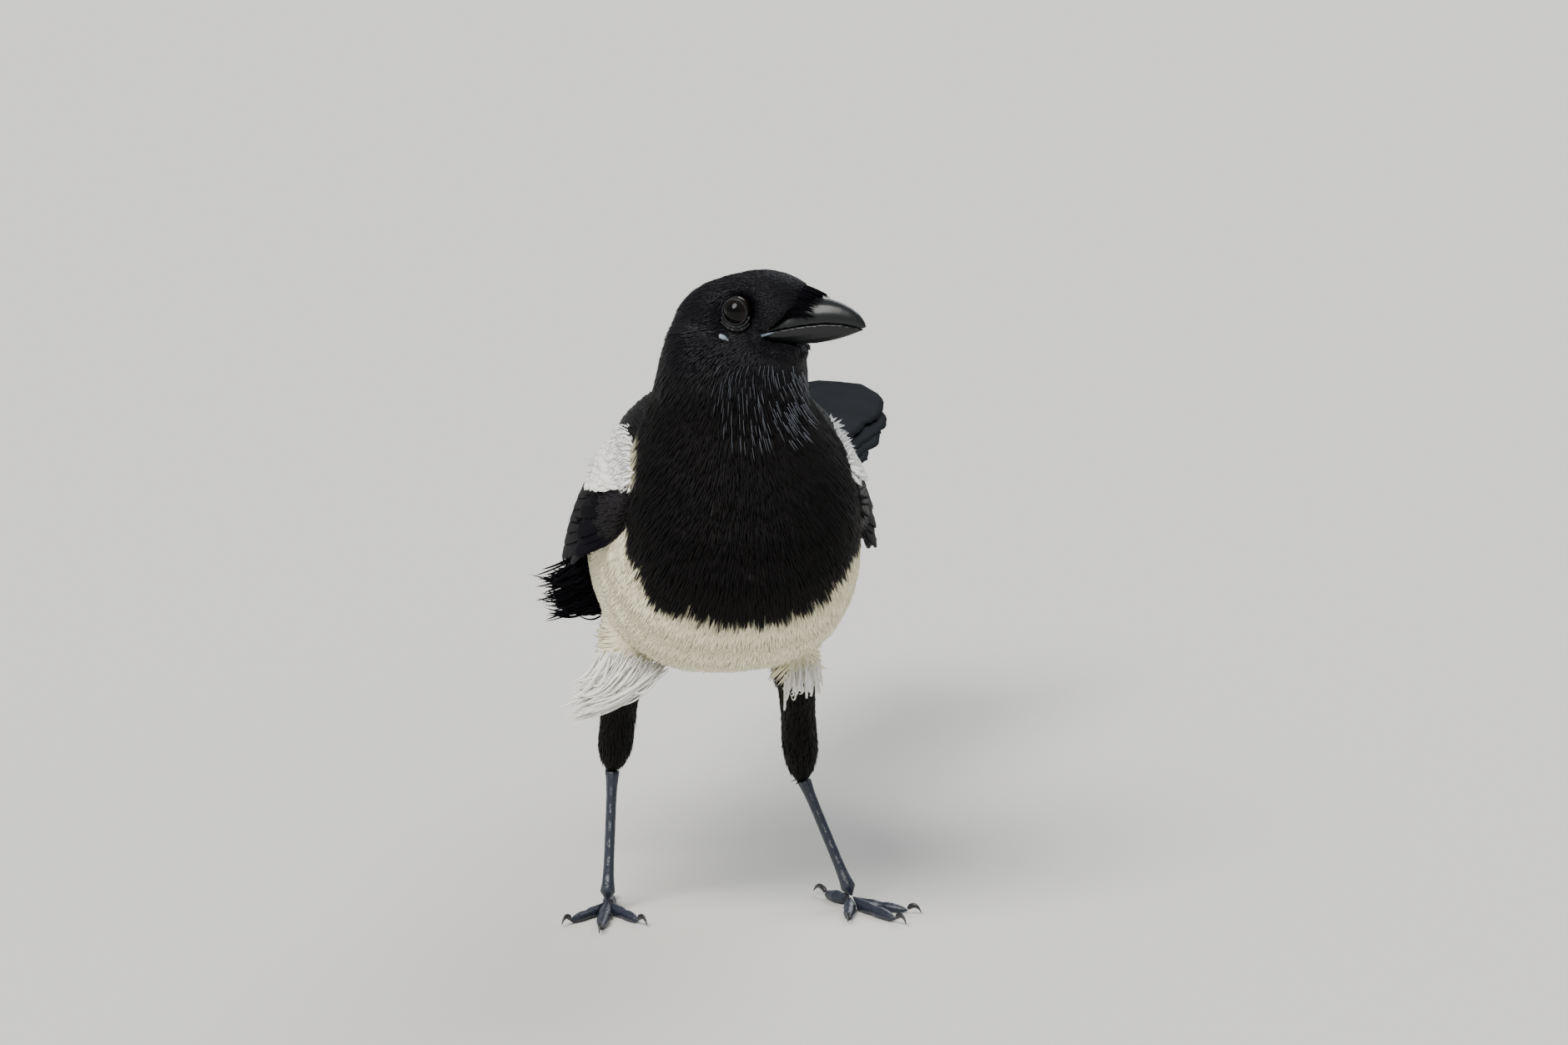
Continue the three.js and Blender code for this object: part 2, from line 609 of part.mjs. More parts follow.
const flesh = bodyForm().add(headFlesh());
const tail = tailFeathers();
const grownTail = tailFeathers(GAP + 0.05);
const tufts = joined(Object.values(TUFTS).map((tuft) => tuftLocks(tuft)));
const grownTufts = joined(Object.values(TUFTS).map((tuft) => tuftLocks(tuft, GAP)));

const head = flesh.trimByPlane([0, 0, 1], HEAD_CUT_Z + GAP / 2).subtract(grownBill).subtract(bothEyes(GAP));
const neck = flesh.trimByPlane([0, 0, -1], -(HEAD_CUT_Z - GAP / 2))
  .trimByPlane(neckWay, neckOffset + GAP / 2).subtract(grownBill);
const trunk = flesh.trimByPlane(neckWay.map((x) => -x), -(neckOffset - GAP / 2));
const torso = trunk.trimByPlane([0, -1, 0], -(RUMP_CUT_Y - GAP / 2)).add(tufts).subtract(grownTail);
const rump = joined([trunk, ...tailCoverts(true), ...tailCoverts(false)])
  .trimByPlane([0, 1, 0], RUMP_CUT_Y + GAP / 2).subtract(grownTail).subtract(grownTufts);

const grownBody = bodyForm(GAP + 0.1);
const bodyAndTail = grownBody.add(grownTail).add(joined(tailCoverts(true, GAP)));
const mirrored = (piece) => piece.mirror([1, 0, 0]);

// A wing, made as a right one: scapulars over the shoulder, which lies over the flight feathers.
function wingPieces(side) {
  const shoulder = (grow) => joined([
    wingPad(side, [-0.02 - grow / 200, 0.1], [0.34, 1.02], 0.2 + grow, -5.2 - grow, 6, 5),
    wingRow(side, "coverts", grow),
    wingRow(side, "alula", grow),
  ]);
  const secondaries = (grow) => joined([
    wingPad(side, [0.22, 0.26], [0.42, 0.88], -2 + grow, -4.4 - grow, 3, 3),
    wingRow(side, "secondaries", grow),
  ]);
  const primaries = joined([
    wingPad(side, [0.26, 0.6], [0.4, 0.94], -4.4, -6.6, 3, 2),
    wingRow(side, "primaries"),
  ]);
  const over = {
    scapulars: scapularRow(side, GAP),
    shoulder: shoulder(GAP),
    secondaries: secondaries(GAP),
  };
  const inner = side === "right" ? bodyAndTail : mirrored(bodyAndTail);
  const under = (piece, covers) =>
    covers.reduce((rest, name) => rest.subtract(over[name]), piece.subtract(inner));
  return {
    scapulars: under(scapularRow(side), []),
    shoulder: under(shoulder(0), ["scapulars"]),
    secondaries: under(secondaries(0), ["scapulars", "shoulder"]),
    primaries: under(primaries, ["scapulars", "shoulder", "secondaries"]),
  };
}

// Materials
const paint = (color, roughness, metalness = 0) =>
  new THREE.MeshStandardMaterial({ color, roughness, metalness });
const BLACK = paint(0x0c0c10, 0.55);
const WHITE = paint(0xe9e6da, 0.8);
const BLUE = paint(0x10203c, 0.35, 0.2);
const GREEN = paint(0x12241f, 0.35, 0.2);
const HORN = paint(0x16181a, 0.35);
const EYE = paint(0x0a0604, 0.08);
const SKIN = paint(0x1c2026, 0.5);

const bird = new THREE.Group();

function addNode(name, piece, material) {
  const mesh = largest(piece).getMesh();
  const geometry = new THREE.BufferGeometry();
  geometry.setAttribute("position", new THREE.Float32BufferAttribute(mesh.vertProperties, 3));
  geometry.setIndex(new THREE.BufferAttribute(mesh.triVerts, 1));
  geometry.computeVertexNormals();
  const node = new THREE.Mesh(geometry, material);
  node.name = name;
  bird.add(node);
}

addNode("head", head, BLACK);
addNode("neck", neck, BLACK);
addNode("torso", torso, WHITE);
addNode("rump", rump, BLACK);
addNode("tail", tail, GREEN);
addNode("upper_bill", placedOnHead(bill.subtract(mouthSide(true, -GAP / 2))), HORN);
addNode("lower_bill", placedOnHead(bill.subtract(mouthSide(false, -GAP / 2))), HORN);
addNode("eye_left", placedOnHead(eyeball(1)), EYE);
addNode("eye_right", placedOnHead(eyeball(-1)), EYE);

for (const side of ["right", "left"]) {
  const turned = side === "right" ? (piece) => piece : mirrored;
  const wing = wingPieces(side);
  addNode(`scapulars_${side}`, turned(wing.scapulars), WHITE);
  addNode(`wing_${side}_coverts`, turned(wing.shoulder), BLACK);
  addNode(`wing_${side}_secondaries`, turned(wing.secondaries), BLUE);
  addNode(`wing_${side}_primaries`, turned(wing.primaries), GREEN);

  const leg = LEGS[side];
  addNode(`thigh_${side}`, thighForm(leg).subtract(grownBody).subtract(grownTufts), BLACK);
  addNode(`shank_${side}`, shankForm(leg).subtract(thighForm(leg, GAP)), SKIN);
  const grownShank = shankForm(leg, 0.6);
  const before = [];
  for (const name of Object.keys(TOES)) {
    let toe = toeForm(leg, name).subtract(grownShank);
    before.forEach((other) => { toe = toe.subtract(other); });
    before.push(toeForm(leg, name, GAP));
    addNode(`toe_${side}_${name}`, toe, SKIN);
    addNode(`claw_${side}_${name}`, clawForm(leg, name).subtract(toeForm(leg, name, GAP + 0.1)), HORN);
  }
}

// The origin is moved to the middle of the bounding box, on the floor.
const box = new THREE.Box3().setFromObject(bird);
const middle = box.getCenter(v3());
bird.position.set(-middle.x, -middle.y, -box.min.z);

export default bird;
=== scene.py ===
# %% [markdown]
# # Eurasian magpie, life size
# A still model of a standing magpie, seen from the front and a little above.
# The solids give its places and outline. This file grows the plumage on them: one skin, a coat of
# small overlapping tufts, and long feathers on the wings and tail, each with a shaft and barbs.

import math

import bpy
import numpy as np
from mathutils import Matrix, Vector


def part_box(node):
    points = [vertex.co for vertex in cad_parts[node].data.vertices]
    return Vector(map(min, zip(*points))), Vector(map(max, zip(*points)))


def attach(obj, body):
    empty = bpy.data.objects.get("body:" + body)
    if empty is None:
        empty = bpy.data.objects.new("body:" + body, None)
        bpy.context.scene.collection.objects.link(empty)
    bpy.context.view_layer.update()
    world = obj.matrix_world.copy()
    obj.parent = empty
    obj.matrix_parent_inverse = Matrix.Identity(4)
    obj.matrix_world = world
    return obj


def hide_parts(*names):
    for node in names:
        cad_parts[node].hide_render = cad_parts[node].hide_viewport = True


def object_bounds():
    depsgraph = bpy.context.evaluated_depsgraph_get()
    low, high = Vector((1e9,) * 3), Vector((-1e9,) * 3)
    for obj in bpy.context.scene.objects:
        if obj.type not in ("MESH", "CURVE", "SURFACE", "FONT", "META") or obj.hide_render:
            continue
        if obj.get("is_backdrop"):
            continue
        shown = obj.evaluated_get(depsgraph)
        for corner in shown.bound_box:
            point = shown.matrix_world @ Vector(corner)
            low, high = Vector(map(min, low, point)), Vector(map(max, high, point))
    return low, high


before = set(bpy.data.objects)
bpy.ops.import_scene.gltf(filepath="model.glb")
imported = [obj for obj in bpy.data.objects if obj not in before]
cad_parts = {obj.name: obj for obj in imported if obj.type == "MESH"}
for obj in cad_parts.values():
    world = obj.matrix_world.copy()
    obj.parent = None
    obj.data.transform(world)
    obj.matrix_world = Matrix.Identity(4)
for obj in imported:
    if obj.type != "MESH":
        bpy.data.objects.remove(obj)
cad_low, cad_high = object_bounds()
print("solids span", [round(x, 4) for x in cad_high - cad_low])

# %% [markdown]
# Lengths here are millimetres about the point between the feet, as a bird is measured, and turn into
# metres of the frame at the end. The right eye is known in both, so it gives the shift between them.

# %% The bird's own millimetres
MM = 0.001
HEAD_MIDDLE = np.array([5.4, -21.0, 219.0])
HEAD_YAW, HEAD_PITCH = math.radians(60), math.radians(9)
EYE_OUT, EYE_RADIUS = 12.1, 5.1

HEAD_AHEAD = np.array([
    math.cos(HEAD_YAW - math.pi / 2) * math.cos(HEAD_PITCH),
    math.sin(HEAD_YAW - math.pi / 2) * math.cos(HEAD_PITCH),
    math.sin(HEAD_PITCH),
])
HEAD_LEFT = np.array([-math.sin(HEAD_YAW - math.pi / 2), math.cos(HEAD_YAW - math.pi / 2), 0])
HEAD_UP = np.cross(HEAD_AHEAD, HEAD_LEFT)
HEAD_AXES = np.stack([HEAD_AHEAD, HEAD_LEFT, HEAD_UP])


def from_head(points):
    """Points given as (ahead, left, up) from the middle of the head."""
    return HEAD_MIDDLE + np.asarray(points, float) @ HEAD_AXES


def to_head(points):
    return (np.asarray(points) - HEAD_MIDDLE) @ HEAD_AXES.T


eye_low, eye_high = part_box("eye_left")
SHIFT = np.array((eye_low + eye_high) / 2) / MM - from_head([0, EYE_OUT, 0])
print("shift from the bird's own point, mm:", SHIFT.round(2))


def to_frame(points):
    """Metres of the frame from the bird's millimetres."""
    return (np.asarray(points, float) + SHIFT) * MM


# %% [markdown]
# The camera is a long lens at 6 m, so the bird is drawn nearly without perspective: 3.5 pixels of
# the photo to a millimetre. It stands a little to the bird's right and looks down by 12 degrees.

# %% The camera
PHOTO_WIDTH = 1880
LENS_MM, SENSOR_MM = 400.0, 36.0
PIXELS_PER_MM = 3.5
VIEW_RIGHT = np.array([0.985, -0.174, 0.0])
VIEW_UP = np.array([0.036, 0.205, 0.978])
AIM_RIGHT, AIM_UP = 20.6, 136.0

VIEW_RIGHT /= np.linalg.norm(VIEW_RIGHT)
VIEW_UP -= VIEW_UP @ VIEW_RIGHT * VIEW_RIGHT
VIEW_UP /= np.linalg.norm(VIEW_UP)
VIEW_BACK = np.cross(VIEW_RIGHT, VIEW_UP)
DISTANCE = LENS_MM / SENSOR_MM * PHOTO_WIDTH / PIXELS_PER_MM


def add_object(name, data):
    made = bpy.data.objects.new(name, data)
    bpy.context.scene.collection.objects.link(made)
    return made


camera = add_object("camera", bpy.data.cameras.new("camera"))
camera.data.lens = LENS_MM
camera.data.sensor_width = SENSOR_MM
camera.data.clip_start, camera.data.clip_end = 0.1, 30
aim = VIEW_RIGHT * AIM_RIGHT + VIEW_UP * AIM_UP
camera.location = to_frame(aim + VIEW_BACK * DISTANCE)
camera.rotation_mode = "QUATERNION"
camera.rotation_quaternion = Vector(-VIEW_BACK).to_track_quat("-Z", "Y")
bpy.context.scene.camera = camera
print("camera", round(DISTANCE), "mm away")

# %% [markdown]
# Curves through a few rows of sizes give the wing's two edges, its bulge and the line of the flank.

# %% Curves through rows of sizes


def row_curve(rows):
    """A smooth curve through rows of numbers, read at t from 0 to 1."""
    rows = np.array(rows, float)
    rows = rows[:, None] if rows.ndim == 1 else rows
    padded = np.vstack([2 * rows[0] - rows[1], rows, 2 * rows[-1] - rows[-2]])

    def at(t):
        t = np.clip(np.asarray(t, float), 0, 1) * (len(rows) - 1)
        i = np.minimum(t.astype(int), len(rows) - 2)
        w = (t - i)[..., None]
        a, b, c, d = padded[i], padded[i + 1], padded[i + 2], padded[i + 3]
        ease = (c - a) / 2, (d - b) / 2
        cubic = 2 * b - 2 * c + ease[0] + ease[1]
        square = -3 * b + 3 * c - 2 * ease[0] - ease[1]
        return cubic * w**3 + square * w**2 + ease[0] * w + b

    return at


def unit(v):
    return v / np.maximum(np.linalg.norm(v, axis=-1, keepdims=True), 1e-9)


def smooth(low, high, x):
    t = np.clip((x - low) / (high - low), 0, 1)
    return t * t * (3 - 2 * t)


def mix(a, b, t):
    return a + (b - a) * t


print("half way up a smooth step:", smooth(0, 1, 0.5))

# %% [markdown]
# Each material is built by one function from a few nodes. Small feathers take their colour from the
# tint that each tuft carries. Long ones have a gloss, blue on the secondaries and faint elsewhere.

# %% Materials


def new_material(name, roughness, specular):
    material = bpy.data.materials.new(name)
    material.use_nodes = True
    shader = material.node_tree.nodes["Principled BSDF"]
    shader.inputs["Roughness"].default_value = roughness
    shader.inputs["Specular IOR Level"].default_value = specular
    return material, material.node_tree, shader


def maths(tree, operation, *values):
    """One Math node; each value is a number or the output of another node."""
    made = tree.nodes.new("ShaderNodeMath")
    made.operation = operation
    for socket, value in zip(made.inputs, values):
        if isinstance(value, (int, float)):
            socket.default_value = value
        else:
            tree.links.new(value, socket)
    return made.outputs[0]


def tinted(name, roughness, specular=0.5):
    """A material whose colour is the mesh's own attribute named tint."""
    material, tree, shader = new_material(name, roughness, specular)
    tint = tree.nodes.new("ShaderNodeAttribute")
    tint.attribute_name = "tint"
    tree.links.new(tint.outputs["Color"], shader.inputs["Base Color"])
    return material


def plain(name, color, roughness, specular=0.5):
    material, _, shader = new_material(name, roughness, specular)
    shader.inputs["Base Color"].default_value = (*color, 1)
    return material


SKIN_MATERIAL = tinted("plumage_skin", 0.85)
COAT_MATERIAL = tinted("plumage_coat", 0.55, specular=0.1)
HEAD_MATERIAL = tinted("plumage_head", 0.42, specular=0.2)


BARBS_PER_METRE, BARB_SLANT, BARB_DEPTH, BARB_STRENGTH = 1400.0, -0.008, 0.0002, 0.2
GLOSS_PATCHES_PER_METRE, GLOSS_GAIN = 90, 1.6


def vane_material(name, base, gloss, gloss_mix, roughness, specular):
    """Long feathers: fine barbs slant from a shaft, and the web has a gloss of its own colour."""
    material, tree, shader = new_material(name, roughness, specular)
    nodes, links = tree.nodes, tree.links
    uv = nodes.new("ShaderNodeUVMap")
    uv.uv_map = "vane"
    split = nodes.new("ShaderNodeSeparateXYZ")
    links.new(uv.outputs["UV"], split.inputs[0])
    from_shaft = maths(tree, "ABSOLUTE", maths(tree, "SUBTRACT", split.outputs["X"], 0.5))
    slanted = maths(tree, "MULTIPLY_ADD", from_shaft, BARB_SLANT, split.outputs["Y"])
    wave = maths(tree, "SINE", maths(tree, "MULTIPLY", slanted, BARBS_PER_METRE * 2 * math.pi))
    noise = nodes.new("ShaderNodeTexNoise")
    noise.inputs["Scale"].default_value = GLOSS_PATCHES_PER_METRE
    noise.inputs["Detail"].default_value = 3
    position = nodes.new("ShaderNodeTexCoord")
    links.new(position.outputs["Object"], noise.inputs["Vector"])
    web = nodes.new("ShaderNodeMix")
    web.data_type = "RGBA"
    web.inputs["A"].default_value = (*base, 1)
    web.inputs["B"].default_value = (*gloss, 1)
    links.new(maths(tree, "MULTIPLY", noise.outputs["Fac"], gloss_mix * GLOSS_GAIN), web.inputs["Factor"])
    links.new(web.outputs["Result"], shader.inputs["Base Color"])
    raised(tree, wave, BARB_STRENGTH, BARB_DEPTH)
    return material


def raised(tree, height, strength, distance):
    """Gives a material the relief of a height, as deep as the distance."""
    bump = tree.nodes.new("ShaderNodeBump")
    bump.inputs["Strength"].default_value = strength
    bump.inputs["Distance"].default_value = distance
    tree.links.new(height, bump.inputs["Height"])
    tree.links.new(bump.outputs["Normal"], tree.nodes["Principled BSDF"].inputs["Normal"])


BLUE_VANE = vane_material("vane_blue", (0.004, 0.006, 0.014), (0.01, 0.026, 0.12), 0.8, 0.42, 0.08)
BLACK_VANE = vane_material("vane_black", (0.0025, 0.0024, 0.003), (0.005, 0.0045, 0.0075), 0.6, 0.5, 0.02)
GREEN_VANE = vane_material("vane_green", (0.004, 0.0042, 0.0052), (0.0075, 0.0095, 0.0125), 0.8, 0.6, 0.02)
WHITE_VANE = vane_material("vane_white", (0.88, 0.87, 0.82), (0.92, 0.91, 0.87), 0.6, 0.7, 0.1)
BILL_MATERIAL = plain("horn_bill", (0.006, 0.0072, 0.0075), 0.34, specular=0.34)
HAIR_MATERIAL = plain("hair_grey", (0.10, 0.11, 0.13), 0.5, specular=0.2)
CLAW_MATERIAL = plain("horn_claw", (0.012, 0.012, 0.014), 0.35)
LEG_MATERIAL = plain("leg_scales", (0.014, 0.018, 0.032), 0.4)
SCALES_PER_METRE, SCALE_DEPTH, SCALE_STRENGTH = 620, 0.0003, 0.7


def scaled(material):
    """Small raised scales on a plain material."""
    tree = material.node_tree
    position = tree.nodes.new("ShaderNodeTexCoord")
    cells = tree.nodes.new("ShaderNodeTexVoronoi")
    cells.feature = "DISTANCE_TO_EDGE"
    cells.inputs["Scale"].default_value = SCALES_PER_METRE
    tree.links.new(position.outputs["Object"], cells.inputs["Vector"])
    raised(tree, cells.outputs["Distance"], SCALE_STRENGTH, SCALE_DEPTH)


scaled(LEG_MATERIAL)
print(len(bpy.data.materials), "materials")

# %% [markdown]
# Most pieces are built as numbers first and become a mesh in one go. Every piece keeps to the one
# body of the still model and names the solids it stands for.

# %% Making a piece


def shade_smooth(mesh):
    mesh.polygons.foreach_set("use_smooth", [True] * len(mesh.polygons))


def lay_map(mesh, name, uv):
    """A map on the mesh from one pair of coordinates for each of its points."""
    layer = mesh.uv_layers.new(name=name)
    corner = np.zeros(len(mesh.loops), np.int32)
    mesh.loops.foreach_get("vertex_index", corner)
    layer.data.foreach_set("uv", np.asarray(uv, np.float32)[corner].ravel())


def piece(name, points, faces, material, uv=None, replaces=()):
    """A mesh piece from points in the bird's millimetres; uv holds one pair for each point."""
    mesh = bpy.data.meshes.new(name)
    mesh.from_pydata(to_frame(points).tolist(), [], [tuple(f) for f in faces])
    if uv is not None:
        lay_map(mesh, "vane", uv)
    mesh.materials.append(material)
    shade_smooth(mesh)
    mesh.validate()
    return declare(add_object(name, mesh), replaces)


def declare(made, replaces=()):
    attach(made, "root")
    if replaces:
        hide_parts(*replaces)
    return made


print("solids to stand for:", len(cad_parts))

# %% [markdown]
# A long feather is a thin closed blade with a raised shaft. Its vane is narrow at the root, widest
# past the middle and round at the tip, and a few splits in its edge keep it from looking cut out.

# %% One long feather
random = np.random.default_rng(7)
FEATHER_ALONG, FEATHER_ACROSS = 26, 8
ROOT_WIDTH, ROOT_SHARE, TIP_ROUNDNESS, TIP_LEAST = 0.35, 0.35, 2.2, 0.004
SHAFT_HIGH, SHAFT_WIDE, SHAFT_TAPER = 0.35, 0.16, 0.7
EDGE_THINNING, FRAY_FROM, FRAY_FULL = 0.4, 0.3, 0.9


def feather_width(s, tip_start):
    root = np.minimum(1, ROOT_WIDTH + (1 - ROOT_WIDTH) * s / ROOT_SHARE)
    past = np.maximum(0, (s - tip_start) / (1 - tip_start))
    return root * np.sqrt(np.maximum(TIP_LEAST, 1 - past**TIP_ROUNDNESS))


def long_feather(path, half, roll=0.0, camber=0.08, tip_start=0.8, along=FEATHER_ALONG,
                 across=FEATHER_ACROSS, thick=0.3, frayed=0.05):
    """path(s) gives points and outward directions; returns points, faces and vane coordinates."""
    s = np.linspace(0, 1, along + 1)
    points, out = path(s)
    ahead = unit(np.gradient(points, axis=0))
    side = unit(np.cross(ahead, out))
    out = unit(np.cross(side, ahead))
    t = np.linspace(-1, 1, across + 1)
    wide = half * feather_width(s, tip_start)
    edge = 1 + frayed * random.normal(size=(along + 1, 2)) * smooth(FRAY_FROM, FRAY_FULL, s)[:, None]
    spread = np.where(t[None, :] < 0, edge[:, :1], edge[:, 1:]) * t[None, :]
    sideways = wide[:, None] * spread
    shaft = SHAFT_HIGH * np.exp(-((t / SHAFT_WIDE) ** 2))[None, :] * (1 - SHAFT_TAPER * s[:, None])
    rise = wide[:, None] * (t * roll - camber * t * t)[None, :] + shaft
    grid = points[:, None] + side[:, None] * sideways[..., None] + out[:, None] * rise[..., None]
    under = grid - out[:, None] * thick * (1 - EDGE_THINNING * np.abs(t))[None, :, None]
    n = across + 1
    index = np.arange((along + 1) * n).reshape(along + 1, n)
    low = index + index.size
    faces = []
    a, b, c, d = index[:-1, :-1], index[1:, :-1], index[1:, 1:], index[:-1, 1:]
    faces.append(np.stack([a, b, c, d], -1).reshape(-1, 4))
    a, b, c, d = low[:-1, :-1], low[:-1, 1:], low[1:, 1:], low[1:, :-1]
    faces.append(np.stack([a, b, c, d], -1).reshape(-1, 4))
    for j, turn in ((0, 1), (n - 1, -1)):
        ring = np.stack([index[:-1, j], low[:-1, j], low[1:, j], index[1:, j]], -1)
        faces.append(ring[:, ::turn])
    for i, turn in ((0, -1), (along, 1)):
        ring = np.stack([index[i, :-1], low[i, :-1], low[i, 1:], index[i, 1:]], -1)
        faces.append(ring[:, ::turn])
    length = np.linalg.norm(np.diff(points, axis=0), axis=1).sum() * MM
    uv = np.stack(np.broadcast_arrays((t[None, :] + 1) / 2, s[:, None] * length), -1).reshape(-1, 2)
    return np.vstack([grid.reshape(-1, 3), under.reshape(-1, 3)]), np.vstack(faces), np.vstack([uv, uv])


def gathered(feathers):
    """Several feathers as one set of points, faces and vane coordinates."""
    points, faces, uv, start = [], [], [], 0
    for p, f, c in feathers:
        points.append(p)
        faces.append(f + start)
        uv.append(c)
        start += len(p)
    return np.vstack(points), np.vstack(faces), np.vstack(uv)


widths = feather_width(np.linspace(0, 1, 5), 0.8).round(2)
print("width of a feather along its length:", widths.tolist())

# %% [markdown]
# The folded wing is a curved sheet from the bend at u = 0 to the tip at u = 1, between an upper edge
# that meets the back and a lower edge that stands off the flank. Feathers are laid on it in rows,
# each row over the roots of the next: scapulars, coverts, secondaries, primaries.

# %% The folded wing's surface
WING_UPPER = row_curve([[-33, -22, 167], [-28, 9, 179], [-21, 46, 167], [-12, 90, 145], [-12, 134, 131]])
WING_LOWER = row_curve([[-43, -25, 141], [-54, 8, 127], [-51, 50, 119], [-38, 94, 114], [-23, 137, 118]])
WING_BULGE = row_curve([5, 7, 8, 6, 1])
TIP_OUT, OUT_FROM = {"right": 0, "left": 17}, 0.35
CLOSER = {"right": 1, "left": 0}
WING_INSET = {"right": 2.0, "left": 0.6}
CLOSER_BY_HEIGHT = row_curve([2.5, 4.2, 5, 3.6, 0.8])
SHEET_STEP, SHEET_EDGE = 0.02, 0.03


def wing_point(side, u, v):
    upper, lower = WING_UPPER(u), WING_LOWER(u)
    down = lower - upper
    step = SHEET_STEP
    ahead = WING_UPPER(u + step) - WING_UPPER(u - step) + WING_LOWER(u + step) - WING_LOWER(u - step)
    out = unit(np.cross(ahead, down))
    out = np.where(out[..., :1] > 0, -out, out)
    v = np.asarray(v, float)[..., None]
    tip_out = TIP_OUT[side] * (np.maximum(0, np.asarray(u) - OUT_FROM) / (1 - OUT_FROM)) ** 1.5
    closer = CLOSER[side] * CLOSER_BY_HEIGHT(v[..., 0])[..., 0] * (1 - np.clip(u, 0, 1))
    spread = tip_out - closer - WING_INSET[side]
    place = upper + down * v + out * WING_BULGE(u) * 4 * v * (1 - v)
    return place - np.stack([spread, 0 * spread, 0 * spread], -1)


def wing_out(side, u, v):
    step = SHEET_STEP
    along = wing_point(side, u + step, v) - wing_point(side, u - step, v)
    out = unit(np.cross(along, wing_point(side, u, v + step) - wing_point(side, u, v - step)))
    return np.where(out[..., :1] > 0, -out, out)


def wing_path(side, root, tip, root_lift, tip_lift):
    def path(s):
        u = root[0] + (tip[0] - root[0]) * s
        v = root[1] + (tip[1] - root[1]) * s
        out = wing_out(side, np.clip(u, SHEET_EDGE, 1 - SHEET_EDGE), v)
        lift = root_lift + (tip_lift - root_lift) * s
        return wing_point(side, u, v) + out * lift[:, None], out

    return path


wing_ends = [wing_point("right", end, 0.5).round(1).tolist() for end in (0.0, 1.0)]
print("bend and tip of the right wing, mm:", wing_ends)

# %% [markdown]
# Rows of the wing: how many feathers, where the roots and tips of the first and last lie on the
# sheet, their half width, and how high they stand over it. The rows are denser than in the solids.

# %% The wing's rows
PRIMARY_STEPS, WIDTH_VARIES = 1.6, 0.04
WING_ROWS = {
    "coverts": dict(
        count=11, root=((0.17, 0.2), (0.17, 0.88)), tip=((0.43, 0.27), (0.37, 0.94)),
        half=5.0, lift=(-2.0, -0.1), roll=0.17, material=BLACK_VANE, slot="black_plumage"),
    "upper_coverts": dict(
        count=10, root=((0.06, 0.2), (0.05, 0.9)), tip=((0.25, 0.26), (0.2, 0.96)),
        half=4.2, lift=(-1.8, 0.5), roll=0.15, material=BLACK_VANE, slot="black_plumage"),
    "alula": dict(
        count=3, root=((0.08, 0.66), (0.08, 0.88)), tip=((0.25, 0.72), (0.21, 0.97)),
        half=4.4, lift=(-1.6, 1.0), roll=0.17, material=BLACK_VANE, slot="black_plumage"),
    "secondaries": dict(
        count=10, root=((0.34, 0.3), (0.26, 0.76)), tip=((0.67, 0.22), (0.73, 0.86)),
        half=6.4, lift=(-2.8, -1.7), roll=0.16, material=BLUE_VANE, slot="blue_gloss_plumage"),
    "primaries": dict(
        count=10, root=((0.4, 0.66), (0.24, 0.92)), tip=((1.0, 0.42), (0.62, 0.97)),
        half=5.2, lift=(-5.4, -4.6), roll=0.2, material=GREEN_VANE, slot="green_gloss_plumage"),
}


def wing_row(side, row):
    made = []
    for k in range(row["count"]):
        i = k / (row["count"] - 1)
        root = [mix(a, b, i) for a, b in zip(*row["root"])]
        tip = [mix(a, b, i) for a, b in zip(*row["tip"])]
        if row["material"] is GREEN_VANE:
            tip[0] = mix(row["tip"][0][0], row["tip"][1][0], i**PRIMARY_STEPS)
        half = row["half"] * random.normal(1, WIDTH_VARIES)
        path = wing_path(side, root, tip, *row["lift"])
        made.append(long_feather(path, half, -row["roll"]))
    return made


def mirrored(points, faces):
    return points * [-1, 1, 1], faces[:, ::-1]


def wing_piece(side, name, feathers, material, replaces):
    points, faces, uv = gathered(feathers)
    if side == "left":
        points, faces = mirrored(points, faces)
    piece(f"{name}_{side}", points, faces, material, uv, replaces)
    return len(faces)


for side in ("right", "left"):
    covered = {
        "coverts": [f"wing_{side}_coverts"],
        "secondaries": [f"wing_{side}_secondaries"],
        "primaries": [f"wing_{side}_primaries"],
    }
    for name, row in WING_ROWS.items():
        feathers = wing_row(side, row)
        count = wing_piece(side, name, feathers, row["material"], covered.get(name, []))
        print(side, name, count, "faces")

# %% [markdown]
# The white shoulder feathers hang over the folded wing as a loose stack, the long ones outermost.

# %% The white shoulders
SCAPULAR_TIERS = [
    dict(
        count=11, root=((0.14, 0.46), (0.26, 0.18)), tip=((0.32, 0.58), (0.6, 0.2)),
        lift=(-0.2, 1.0), half=4.8),
    dict(
        count=10, root=((0.08, 0.44), (0.2, 0.17)), tip=((0.26, 0.56), (0.48, 0.2)),
        lift=(0.1, 1.4), half=4.8),
    dict(
        count=9, root=((0.03, 0.42), (0.14, 0.16)), tip=((0.2, 0.53), (0.36, 0.2)),
        lift=(0.3, 1.8), half=4.6),
]
SCAPULAR_NARROWING, SCAPULAR_VARIES, TIP_STRAYS = 0.15, 0.06, 0.008


def shoulder(side):
    made = []
    for tier in SCAPULAR_TIERS:
        for k in range(tier["count"]):
            i = k / (tier["count"] - 1)
            root = [mix(a, b, i) for a, b in zip(*tier["root"])]
            tip = [mix(a, b, i) + random.normal(0, TIP_STRAYS) for a, b in zip(*tier["tip"])]
            path = wing_path(side, root, tip, *tier["lift"])
            half = tier["half"] * (1 - SCAPULAR_NARROWING * i) * random.normal(1, SCAPULAR_VARIES)
            made.append(long_feather(
                path, half, roll=-0.2, camber=0.1, tip_start=0.55, along=16, across=6, frayed=0.12))
    return made


